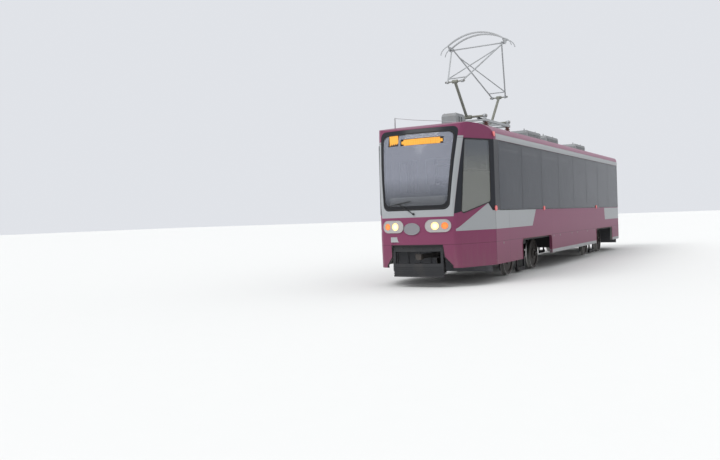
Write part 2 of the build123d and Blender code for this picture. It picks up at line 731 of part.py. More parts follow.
def bogie_bolster(x):
    """Swing bolster on four coil springs, with side bearers and the centre pin's bore."""
    pieces = [box(x - BOLSTER_HALF_X, x + BOLSTER_HALF_X, -BOLSTER_HALF_Y, BOLSTER_HALF_Y, *BOLSTER_Z)]
    for side in (-1, 1):
        pieces.append(disc(x, side * BEAM_Y[0], BOLSTER_Z[1] - 1, BOLSTER_Z[1] + SIDE_BEARER_T, SIDE_BEARER_R))
        pieces += [spring(x + s * SPRING_X, side * SPRING_Y) for s in (-1, 1)]
    return fuse(pieces) - disc(x, 0, BOLSTER_Z[0] - 1, BOLSTER_Z[1] + 1, PIVOT_R + BEARING_GAP)


def bogie_motors(x):
    """A motor and gearcase for each axle, hung between axle and transom."""
    solids = []
    y0, y1 = GEARCASE_Y
    for s in (-1, 1):
        axle, motor, foot = x + s * AXLE_SPACING / 2, x + s * MOTOR_X, x + s * MOTOR_FOOT_X
        half = GEARCASE_R / 2
        link = [(motor, MOTOR_Z - half), (axle, AXLE_Z - half), (axle, AXLE_Z + half), (motor, MOTOR_Z + half)]
        body = fuse([
            tube_y(motor, MOTOR_Z, -MOTOR_HALF_Y, MOTOR_HALF_Y, MOTOR_R),
            box(foot, motor, -150, 150, TRANSOM_Z - 60, TRANSOM_Z + 60),
            tube_y(axle, AXLE_Z, y0, y1, GEARCASE_R),
            side_prism(link, y0, y1),
        ])
        solids.append(body - tube_y(axle, AXLE_Z, y0 - 1, y1 + 1, AXLE_R + BEARING_GAP))
    return group(solids)


def rail_brakes(x):
    """Magnetic shoe over each rail, hung from the side beam."""
    solids = []
    for side in (-1, 1):
        shoe = [(x - SHOE_HALF_X, SHOE_Z[1]), (x - SHOE_HALF_X + 40, SHOE_Z[0]),
                (x + SHOE_HALF_X - 40, SHOE_Z[0]), (x + SHOE_HALF_X, SHOE_Z[1])]
        outer = side * SHOE_Y[1]
        pieces = [side_prism(shoe, side * SHOE_Y[0], outer)]
        for s in (-1, 1):
            x0, x1 = x + s * HANGER_X[0], x + s * HANGER_X[1]
            pieces.append(box(x0, x1, side * BEAM_Y[1], outer, *HANGER_Z))
            pieces.append(box(x0, x1, outer - side * 40, outer, SHOE_Z[1] - 1, HANGER_Z[1]))
        solids.append(fuse(pieces))
    return group(solids)


def end_pieces(end, screen, side_window):
    """Mask, screen and side panes of one end, with its outer and inner forms, at the driving end."""
    hole_x = end[0] + BEYOND / 3, end[0] + BEYOND
    outer, core = nose_solid(end, 0.0), nose_solid(end, MASK_WALL)
    skin = outer - nose_solid(end, SCREEN_T)
    front_hole = front_prism(screen_outline(*screen), *hole_x, SCREEN_CORNER)
    side_hole = side_prism(side_window, -BEYOND, BEYOND, SIDE_CORNER)
    outline = RECESS + [(-y, z) for y, z in reversed(RECESS)]
    mask = outer - core - front_hole - side_hole - front_prism(outline, *hole_x)
    return mask, skin & front_hole, skin & side_hole, outer, core


def lamp_set(outer, lamps):
    """Bezels and lenses standing proud of one end."""
    ahead = Pos(BEZEL_PROUD, 0, 0) * outer
    bezels, lenses = [], {name: [] for name in lamps}
    for side in (-1, 1):
        holes = []
        for name, (y, r) in lamps.items():
            a, b = (END_X - BEYOND / 2, side * y, LAMP_Z), (END_X + BEYOND, side * y, LAMP_Z)
            holes.append(rod(a, b, r))
            lenses[name].append((ahead & rod(a, b, r - LENS_GAP)) - outer)
        bezels.append((ahead & slot_outline(side * BEZEL_Y, LAMP_Z, BEZEL_HALF)) - outer - holes)
    return bezels, lenses


def wiper(outer):
    """Pivot, arm and blade, parked against the lower part of the windscreen."""
    def on_glass(y, z, lift):
        return (nose_x(FRONT_END, y, z) + lift, y, z)

    pivot, knee = on_glass(0.0, WIPER_PIVOT_Z, 0.0), on_glass(0.0, WIPER_PIVOT_Z, 24.0)
    (y0, z0), (y1, z1) = WIPER_BLADE
    line = [(y0 + (y1 - y0) * i / 6, z0 + (z1 - z0) * i / 6) for i in range(7)]
    blade = [on_glass(y, z, 16.0) for y, z in line]
    mid = on_glass(*line[3], 26.0)
    pieces = [rod(a, b, 8.0) for a, b in zip(blade, blade[1:])]
    arm = [rod(pivot, (pivot[0] + 32, pivot[1], pivot[2]), 20.0), rod(knee, mid, 8.0), rod(blade[3], mid, 10.0)]
    return fuse(pieces + arm) - outer


def seat(x, y):
    """Shell seat on a pedestal, its front edge at x."""
    profile = [(x - px, FLOOR_Z + pz) for px, pz in SEAT_PROFILE]
    shell = side_prism(profile, y - SEAT_WIDTH / 2, y + SEAT_WIDTH / 2)
    front, rear, height = SEAT_POST
    return fuse([shell, box(x - front, x - rear, y - 40, y + 40, FLOOR_Z, FLOOR_Z + height)])


def saloon_seats():
    """Rows of shell seats, left out beside the doorways."""
    seats = []
    for row in range(SEAT_ROWS):
        x = SEAT_FIRST_X - row * SEAT_PITCH
        at_door = any(x > rear - 120 and x - 520 < front + 120 for rear, front in door_spans())
        seats += [seat(x, y) for y in SEAT_Y if y > 0 or not at_door]
    return group(seats)


def handrails():
    """Two ceiling rails on upright poles."""
    lines = []
    for y in (RAIL_LINE_Y, -RAIL_LINE_Y):
        rail = rod((POLE_X[0], y, RAIL_Z), (POLE_X[-1], y, RAIL_Z), RAIL_R)
        lines.append(fuse([rail] + [disc(x, y, FLOOR_Z, RAIL_Z, RAIL_R) for x in POLE_X]))
    return group(lines)


def cab_partition():
    """Bulkhead behind the driver with three windows."""
    x0, x1 = PARTITION_X, PARTITION_X + PARTITION_T
    holes = [box(x0 - 1, x1 + 1, y0, y1, *PARTITION_WINDOW_Z) for y0, y1 in PARTITION_WINDOWS]
    return body_bar(PARTITION_CLEAR, x0, x1, FLOOR_Z) - holes


def driver_seat():
    """Sprung pedestal seat with a head rest."""
    x, z = DRIVER_X, FLOOR_Z
    back = [(x - 250, z + 450), (x - 130, z + 450), (x - 240, z + 1180), (x - 330, z + 1180)]
    rest = [(x - 250, z + 1170), (x - 330, z + 1170), (x - 360, z + 1360), (x - 290, z + 1360)]
    return fuse([
        disc(x, 0, z, z + 30, 210.0),
        disc(x, 0, z + 29, z + 400, 55.0),
        side_prism(rect(x - 230, x + 260, z + 380, z + 500), -245, 245, 45.0),
        side_prism(back, -235, 235, 35.0),
        side_prism(rest, -140, 140, 25.0),
    ])


def roof_box(x0, x1, half, top_z):
    """Roof box with sloped ends and slotted sides, its underside cut to the roof."""
    slope = ROOF_BOX_SLOPE
    outline = [(x0, CORNICE_Z), (x1, CORNICE_Z), (x1, top_z - slope), (x1 - slope, top_z),
               (x0 + slope, top_z), (x0, top_z - slope)]
    count = int((x1 - x0) // SLOT_PITCH) - 2
    first = (x0 + x1 - (count - 1) * SLOT_PITCH) / 2
    slots = []
    for i in range(count):
        x = first + i * SLOT_PITCH
        for side in (-1, 1):
            slots.append(box(x - SLOT_WIDTH / 2, x + SLOT_WIDTH / 2, side * (half - SLOT_DEPTH), side * (half + 1),
                             SLOT_LOW_Z, top_z - slope))
    return side_prism(outline, -half, half) - (slots + [roof_bar(0.0, x0 - 1, x1 + 1)])


def insulator(x, y):
    """Ribbed post insulator from the roof skin to the pantograph's base frame."""
    top = PAN_FRAME_Z[0]
    shed_low = ROOF_CROWN_Z + 25
    pitch = (top - shed_low) / INSULATOR_SHEDS
    pieces = [disc(x, y, ROOF_SHOULDER[1], top, INSULATOR_R[0])]
    for i in range(INSULATOR_SHEDS):
        z = shed_low + pitch * (i + 0.35)
        pieces.append(disc(x, y, z, z + pitch * 0.35, INSULATOR_R[1]))
    return fuse(pieces) - roof_bar(0.0, x - 2 * INSULATOR_R[1], x + 2 * INSULATOR_R[1])


def pantograph_base():
    """Base frame of two rails and cross bars, with a bearing for each lower arm."""
    reach = PAN_BASE_HALF + 90
    low, high = PAN_FRAME_Z
    pieces = []
    for side in (-1, 1):
        y0, y1 = side * PAN_RAIL_Y - PAN_RAIL_HALF, side * PAN_RAIL_Y + PAN_RAIL_HALF
        pieces.append(box(PAN_X - reach, PAN_X + reach, y0, y1, low, high))
        for s in (-1, 1):
            x = PAN_X + s * PAN_BASE_HALF
            pieces.append(box(x - 32, x + 32, y0, y1, high - 1, PAN_SHAFT_Z))
            pieces.append(tube_y(x, PAN_SHAFT_Z, y0, y1, 44.0))
    for offset in (-reach + 25, -300, 300, reach - 25):
        x = PAN_X + offset
        pieces.append(box(x - 25, x + 25, -PAN_RAIL_Y, PAN_RAIL_Y, low, high - 12))
    width = PAN_RAIL_Y + 2 * PAN_RAIL_HALF
    bores = [tube_y(PAN_X + s * PAN_BASE_HALF, PAN_SHAFT_Z, -width, width, PAN_SHAFT_R + BEARING_GAP) for s in (-1, 1)]
    return fuse(pieces) - bores


def pan_points():
    """Base shaft, elbow and head pivot of one half, in x from the pantograph's middle and z."""
    angle = math.radians(PAN_ANGLE)
    elbow = (PAN_BASE_HALF + PAN_LOWER * math.cos(angle), PAN_SHAFT_Z + PAN_LOWER * math.sin(angle))
    head_z = elbow[1] + math.sqrt(PAN_UPPER**2 - elbow[0] ** 2)
    return (PAN_BASE_HALF, PAN_SHAFT_Z), elbow, (0.0, head_z)


def pan_lower_arm(sign):
    """Base shaft, single lower tube and elbow axle."""
    base, elbow, _ = pan_points()
    bx, ex = PAN_X + sign * base[0], PAN_X + sign * elbow[0]
    reach = PAN_RAIL_Y + PAN_RAIL_HALF + 20
    end = PAN_EYE_Y[1] + 20
    return fuse([
        tube_y(bx, base[1], -reach, reach, PAN_SHAFT_R),
        tube_y(bx, base[1], -110, 110, 46.0),
        rod((bx, 0, base[1]), (ex, 0, elbow[1]), PAN_LOWER_R),
        tube_y(ex, elbow[1], -end, end, PAN_PIN_R),
        tube_y(ex, elbow[1], -60, 60, 40.0),
    ])


def pan_upper_frame(sign, eye, gap):
    """Two tubes that spread from the elbow eyes to the head eyes, with a cross tube and a diagonal."""
    _, elbow, head = pan_points()
    ex, ez, hz = PAN_X + sign * elbow[0], elbow[1], head[1]
    low_y, head_y = sum(PAN_EYE_Y) / 2, sum(eye) / 2

    def at(share, side):
        return (ex + (PAN_X - ex) * share, side * (low_y + (head_y - low_y) * share), ez + (hz - ez) * share)

    pieces, bores = [], []
    for side in (-1, 1):
        pieces.append(tube_y(ex, ez, side * PAN_EYE_Y[0], side * PAN_EYE_Y[1], PAN_EYE_R))
        pieces.append(tube_y(PAN_X, hz, side * eye[0], side * eye[1], PAN_EYE_R))
        pieces.append(rod(at(0.0, side), at(1.0, side), PAN_UPPER_R))
        bores.append(tube_y(ex, ez, side * (PAN_EYE_Y[0] - 20), side * (PAN_EYE_Y[1] + 30), PAN_PIN_R + BEARING_GAP))
        bores.append(tube_y(PAN_X, hz, side * (eye[0] - 20), side * (eye[1] + 20), PAN_PIN_R + gap))
    pieces.append(rod(at(0.1, -1), at(0.1, 1), PAN_BRACE_R))
    pieces.append(rod(at(0.1, -sign), at(0.86, sign), PAN_BRACE_R))
    return fuse(pieces) - bores


def pan_strip(x, half, end_z):
    """Arched contact strip across the car."""
    t = 2 * PAN_STRIP_HALF[1]
    x0 = x - PAN_STRIP_HALF[0]
    low, top = [(-half, end_z), (0, end_z + PAN_ARCH), (half, end_z)], []
    top = [(x0, y, z) for y, z in low]
    low = [(x0, y, z - t) for y, z in reversed(low)]
    edges = [ThreePointArc(*top), Line(top[2], low[0]), ThreePointArc(*low), Line(low[2], top[0])]
    return extrude(make_face(Wire(edges)), amount=2 * PAN_STRIP_HALF[0], dir=(1, 0, 0))


def pan_horn(x, side, half, end_z):
    """Down-curved horn at one end of a strip."""
    z = end_z - PAN_STRIP_HALF[1]
    a = (x, side * (half - 30), z)
    m = (x, side * (half + (PAN_HORN_Y - half) * 0.72), z - PAN_HORN_DROP * 0.42)
    path = ThreePointArc(a, m, (x, side * PAN_HORN_Y, z - PAN_HORN_DROP))
    return sweep(Plane(origin=a, z_dir=path % 0) * Circle(PAN_HORN_R), path=path)


def pan_head():
    """Cross shaft, end plates, two arched contact strips and their horns."""
    z = pan_points()[2][1]
    shaft = PAN_OUTER_EYE[1] + 14
    inner, half = PAN_OUTER_EYE[1] + 6, PAN_OUTER_EYE[1] + 30
    end_z = z + PAN_STRIP_Z
    plate = [(PAN_X - 40, z - 30), (PAN_X + 40, z - 30),
             (PAN_X + PAN_STRIP_X + 20, end_z - PAN_STRIP_HALF[1]), (PAN_X - PAN_STRIP_X - 20, end_z - PAN_STRIP_HALF[1])]
    pieces = [tube_y(PAN_X, z, -shaft, shaft, PAN_PIN_R)]
    pieces += [side_prism(plate, side * inner, side * half, 12.0) for side in (-1, 1)]
    for x in (PAN_X - PAN_STRIP_X, PAN_X + PAN_STRIP_X):
        pieces.append(pan_strip(x, half, end_z))
        pieces += [pan_horn(x, side, half, end_z) for side in (-1, 1)]
    return fuse(pieces)


def markers():
    """Round side lamps on both walls, their backs cut to the body."""
    skin = body_bar(0.0, REAR_JOINT_X - BEYOND, FRONT_JOINT_X + BEYOND)
    discs = [tube_y(x, z, HALF_WIDTH - WALL, HALF_WIDTH + MARKER_T, MARKER_R) - skin for x, z in MARKERS]
    return group([solid for d in discs for solid in both_sides(d)])


def build_ends():
    """Masks, glass, lamps and the pieces that follow the inside of the masks."""
    front = end_pieces(FRONT_END, (SCREEN_Z, SCREEN_HALF), CAB_WINDOW)
    rear = end_pieces(REAR_END, (REAR_SCREEN_Z, REAR_SCREEN_HALF), QUARTER_WINDOW)
    save("front_mask", front[0])
    save("windscreen", front[1])
    save("cab_side_glass", group([front[2]]))
    save("rear_mask", to_rear(rear[0]))
    save("rear_window", to_rear(rear[1]))
    save("rear_quarter_glass", group([to_rear(rear[2])]))
    bezels, lenses = lamp_set(front[3], LAMPS)
    save("headlamp_bezels", group(bezels))
    save("headlamps", group(lenses["white"]))
    save("front_indicators", group(lenses["amber"]))
    bezels, lenses = lamp_set(rear[3], TAIL_LAMPS)
    save("tail_lamp_bezels", group([to_rear(b) for b in bezels]))
    save("tail_lamps", group([to_rear(lens) for pair in lenses.values() for lens in pair]))
    save("wiper", wiper(front[3]))
    inner = HALF_WIDTH - WALL
    save("floor", group(floor_panels(front[4], rear[4])))
    save("entrance_steps", group([fuse(stair(*span)) for span in door_spans()]))
    save("cab_desk", front[4] & side_prism(DESK, -inner, inner))
    save("destination_box", front[4] & box(DISPLAY_X, END_X, -DISPLAY_HALF, DISPLAY_HALF, *DISPLAY_Z))


def build_body():
    """Walls, roof, doors, underframe and what stands in the saloon."""
    save("side_wall_left", side_wall(1))
    save("side_wall_right", side_wall(-1))
    save("side_glass_left", side_glass(1))
    save("side_glass_right", side_glass(-1))
    save("side_markers", markers())
    span = (REAR_JOINT_X, FRONT_JOINT_X)
    save("roof", roof_bar(0.0, *span) - roof_bar(ROOF_WALL, *span))
    build_underbody()
    glass = []
    for name, x, leaves, width in DOORS:
        panels, panes = door_leaves(x, leaves, width)
        save(name, group(panels))
        glass += panes
    save("door_glass", group(glass))
    save("front_bumper", bumper())
    save("rear_bumper", to_rear(bumper()))
    save("coupler_front", coupler())
    save("coupler_rear", to_rear(coupler()))
    save("cab_partition", cab_partition())
    save("driver_seat", driver_seat())
    save("saloon_seats", saloon_seats())
    save("handrails", handrails())


def build_bogies():
    """Both bogies and their four wheelsets."""
    axle = 0
    for name, x in BOGIES.items():
        save(f"{name}_bogie_frame", bogie_frame(x))
        save(f"{name}_bogie_bolster", bogie_bolster(x))
        save(f"{name}_bogie_motors", bogie_motors(x))
        save(f"{name}_bogie_rail_brakes", rail_brakes(x))
        for s in (1, -1):
            axle += 1
            save(f"wheelset_{axle}", wheelset(x + s * AXLE_SPACING / 2))


def build_roof_equipment():
    """Roof boxes and the pantograph."""
    save("roof_gear", roof_box(*ROOF_GEAR))
    save("resistor_boxes", group([roof_box(x0, x1, RESISTOR_HALF, RESISTOR_TOP_Z) for x0, x1 in RESISTOR_BOXES]))
    feet = [(PAN_X + s * (PAN_BASE_HALF - 60), t * PAN_RAIL_Y) for s in (-1, 1) for t in (-1, 1)]
    save("pantograph_insulators", group([insulator(x, y) for x, y in feet]))
    save("pantograph_base", pantograph_base())
    save("pantograph_front_arm", pan_lower_arm(1))
    save("pantograph_rear_arm", pan_lower_arm(-1))
    save("pantograph_front_frame", pan_upper_frame(1, PAN_OUTER_EYE, BEARING_GAP))
    save("pantograph_rear_frame", pan_upper_frame(-1, PAN_INNER_EYE, PAN_OPEN_GAP))
    save("pantograph_head", pan_head())


build_ends()
build_body()
build_bogies()
build_roof_equipment()
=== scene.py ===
"""Finishes, fittings, light and camera for a single-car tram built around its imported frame."""

import json
import logging
import math
from dataclasses import dataclass, field
from enum import Enum
from typing import Callable, Iterable, Sequence

import bpy
from mathutils import Matrix, Vector

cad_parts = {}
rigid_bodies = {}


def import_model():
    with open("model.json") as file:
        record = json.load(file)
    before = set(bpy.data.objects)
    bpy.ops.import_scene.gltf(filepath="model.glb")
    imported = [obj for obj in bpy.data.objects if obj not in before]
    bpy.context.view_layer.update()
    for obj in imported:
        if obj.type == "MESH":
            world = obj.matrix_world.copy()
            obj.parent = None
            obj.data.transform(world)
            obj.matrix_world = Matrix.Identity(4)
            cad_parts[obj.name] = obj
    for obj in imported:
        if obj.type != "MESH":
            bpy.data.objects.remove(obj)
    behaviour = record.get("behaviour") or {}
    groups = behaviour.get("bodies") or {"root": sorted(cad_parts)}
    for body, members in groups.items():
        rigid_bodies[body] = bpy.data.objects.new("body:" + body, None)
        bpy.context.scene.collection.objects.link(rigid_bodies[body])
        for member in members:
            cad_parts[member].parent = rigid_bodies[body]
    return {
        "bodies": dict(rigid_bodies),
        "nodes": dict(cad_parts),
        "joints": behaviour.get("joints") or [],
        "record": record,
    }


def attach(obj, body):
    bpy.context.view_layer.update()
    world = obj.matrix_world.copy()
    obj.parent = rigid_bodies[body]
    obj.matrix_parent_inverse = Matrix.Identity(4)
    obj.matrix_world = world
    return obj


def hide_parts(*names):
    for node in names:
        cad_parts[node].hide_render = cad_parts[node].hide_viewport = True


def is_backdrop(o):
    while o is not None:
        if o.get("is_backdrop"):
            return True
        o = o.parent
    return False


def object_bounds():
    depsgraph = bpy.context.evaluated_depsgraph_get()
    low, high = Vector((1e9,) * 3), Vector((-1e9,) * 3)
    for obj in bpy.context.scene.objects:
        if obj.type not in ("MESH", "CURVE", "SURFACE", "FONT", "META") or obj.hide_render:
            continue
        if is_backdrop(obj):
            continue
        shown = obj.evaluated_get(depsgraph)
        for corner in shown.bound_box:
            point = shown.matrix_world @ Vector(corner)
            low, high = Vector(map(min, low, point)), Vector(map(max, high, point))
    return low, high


LOG = logging.getLogger("tram")
Pair = tuple[float, float]
Point = tuple[float, float, float]
Colour = tuple[float, float, float]
AXLE_Z = 0.377
AXLES_X = (4.495, 2.555, -2.855, -4.795)


class Side(Enum):
    """The two sides of the car."""

    LEFT = 1
    RIGHT = -1


class Body(Enum):
    """Rigid bodies that fittings ride on."""

    CAR = "carbody"
    FRONT_BOGIE = "front_bogie"
    REAR_BOGIE = "rear_bogie"
    FRONT_ARM = "pantograph_front_arm"
    REAR_ARM = "pantograph_rear_arm"
    FRONT_FRAME = "pantograph_front_frame"
    REAR_FRAME = "pantograph_rear_frame"
    HEAD = "pantograph_head"


# Shader graph


class Value:
    """A number that varies over a surface, usable in arithmetic."""

    def __init__(self, graph: "Graph", socket: bpy.types.NodeSocket) -> None:
        """Wrap one output socket.

        Args:
            graph: The node tree that the socket is in.
            socket: The output socket.
        """
        self.graph = graph
        self.socket = socket

    def __add__(self, other: "Value | float") -> "Value":
        """Sum."""
        return self.graph.math("ADD", self, other)

    __radd__ = __add__

    def __sub__(self, other: "Value | float") -> "Value":
        """Difference."""
        return self.graph.math("SUBTRACT", self, other)

    def __rsub__(self, other: "Value | float") -> "Value":
        """Difference with the number first."""
        return self.graph.math("SUBTRACT", other, self)

    def __mul__(self, other: "Value | float") -> "Value":
        """Product."""
        return self.graph.math("MULTIPLY", self, other)

    __rmul__ = __mul__

    def __truediv__(self, other: "Value | float") -> "Value":
        """Quotient."""
        return self.graph.math("DIVIDE", self, other)

    def __pow__(self, other: "Value | float") -> "Value":
        """Power."""
        return self.graph.math("POWER", self, other)

    def __abs__(self) -> "Value":
        """Distance from nought."""
        return self.graph.math("ABSOLUTE", self)

    def __and__(self, other: "Value | float") -> "Value":
        """Smaller of two masks."""
        return self.graph.math("MINIMUM", self, other)

    def __or__(self, other: "Value | float") -> "Value":
        """Larger of two masks."""
        return self.graph.math("MAXIMUM", self, other)

    def clamped(self) -> "Value":
        """The value kept from 0 to 1."""
        return self.graph.math("MINIMUM", self.graph.math("MAXIMUM", self, 0.0), 1.0)

    def over(self, edge: "Value | float", soft: float = 0.004) -> "Value":
        """Mask of where the value is above an edge.

        Args:
            edge: The value at which the mask is a half.
            soft: The width over which it goes from 0 to 1.

        Returns:
            The mask.
        """
        return ((self - edge) / soft + 0.5).clamped()

    def under(self, edge: "Value | float", soft: float = 0.004) -> "Value":
        """Mask of where the value is below an edge."""
        return 1.0 - self.over(edge, soft)

    def between(self, low: "Value | float", high: "Value | float", soft: float = 0.004) -> "Value":
        """Mask of where the value lies between two edges."""
        return self.over(low, soft) & self.under(high, soft)


class Graph:
    """Node tree of one material, written from its finish class."""

    def __init__(self, name: str) -> None:
        """Start an empty tree with a shader and an output.

        Args:
            name: The material's name.
        """
        self.material = bpy.data.materials.new(name)
        self.material.use_nodes = True
        self.tree = self.material.node_tree
        self.tree.nodes.clear()
        self.shader = self.node("ShaderNodeBsdfPrincipled")
        output = self.node("ShaderNodeOutputMaterial")
        self.tree.links.new(self.shader.outputs[0], output.inputs["Surface"])
        self.coordinates = self.node("ShaderNodeTexCoord").outputs["Object"]

    def node(self, kind: str, settings: dict[str, object] | None = None,
             inputs: dict[int | str, object] | None = None) -> bpy.types.Node:
        """Add one node.

        Args:
            kind: The node's type.
            settings: Its settings, set before its sockets.
            inputs: Values or links of its sockets, by name or number.

        Returns:
            The node.
        """
        node = self.tree.nodes.new(kind)
        for key, value in (settings or {}).items():
            if key == "stops":
                self._set_stops(node.color_ramp, value)
            else:
                setattr(node, key, value)
        for key, value in (inputs or {}).items():
            self.feed(node.inputs[key], value)
        return node

    @staticmethod
    def _set_stops(ramp: bpy.types.ColorRamp, stops: Sequence[tuple[float, Colour]]) -> None:
        """Give a colour ramp its stops.

        Args:
            ramp: The ramp.
            stops: Place and colour of each stop.
        """
        while len(ramp.elements) < len(stops):
            ramp.elements.new(1.0)
        for element, (place, colour) in zip(ramp.elements, stops):
            element.position = place
            element.color = (*colour, 1.0)

    def feed(self, socket: bpy.types.NodeSocket, value: object) -> None:
        """Link or set one input socket.

        Args:
            socket: The socket.
            value: A link, a number or a colour.
        """
        if isinstance(value, Value):
            value = value.socket
        if isinstance(value, bpy.types.NodeSocket):
            self.tree.links.new(value, socket)
        elif isinstance(value, tuple) and len(value) == 3 and socket.type == "RGBA":
            socket.default_value = (*value, 1.0)
        else:
            socket.default_value = value

    def math(self, operation: str, first: "Value | float", second: "Value | float | None" = None) -> Value:
        """Add a Math node."""
        inputs = {0: first} if second is None else {0: first, 1: second}
        return Value(self, self.node("ShaderNodeMath", {"operation": operation}, inputs).outputs[0])

    def position(self) -> tuple[Value, Value, Value]:
        """Object coordinates in metres, one value for each axis."""
        split = self.node("ShaderNodeSeparateXYZ", None, {0: self.coordinates})
        return tuple(Value(self, split.outputs[i]) for i in range(3))

    def noise(self, scale: float, detail: float = 3.0, stretch: Point = (1.0, 1.0, 1.0)) -> Value:
        """Noise over Object coordinates.

        Args:
            scale: Features per metre.
            detail: Number of finer layers.
            stretch: Scale along each axis.

        Returns:
            The noise, about 0.5 on average.
        """
        place = self.node("ShaderNodeMapping", None, {"Vector": self.coordinates, "Scale": stretch})
        noise = self.node("ShaderNodeTexNoise", None,
                          {"Vector": place.outputs[0], "Scale": scale, "Detail": detail, "Roughness": 0.55})
        return Value(self, noise.outputs[0])

    def mix(self, factor: "Value | float", first: object, second: object) -> bpy.types.NodeSocket:
        """Mix two colours.

        Args:
            factor: Share of the second colour.
            first: The first colour or its link.
            second: The second colour or its link.

        Returns:
            The mixed colour's link.
        """
        node = self.node("ShaderNodeMix", {"data_type": "RGBA"}, {"Factor": factor})
        self.feed(node.inputs[6], first)
        self.feed(node.inputs[7], second)
        return node.outputs[2]

    def bump(self, height: Value, strength: float, distance: float) -> bpy.types.NodeSocket:
        """Normal from a height in metres times distance.

        Args:
            height: The height.
            strength: Share of the bump that shows.
            distance: Scale of the height.

        Returns:
            The normal's link.
        """
        node = self.node("ShaderNodeBump", None,
                         {"Strength": strength, "Distance": distance, "Height": height})
        return node.outputs[0]

    def surface(self, **sockets: object) -> bpy.types.Material:
        """Set the shader's sockets by name, with underscores for spaces.

        Args:
            **sockets: A value or a link for each socket.

        Returns:
            The material.
        """
        for key, value in sockets.items():
            self.feed(self.shader.inputs[key.replace("_", " ")], value)
        return self.material


# Finishes


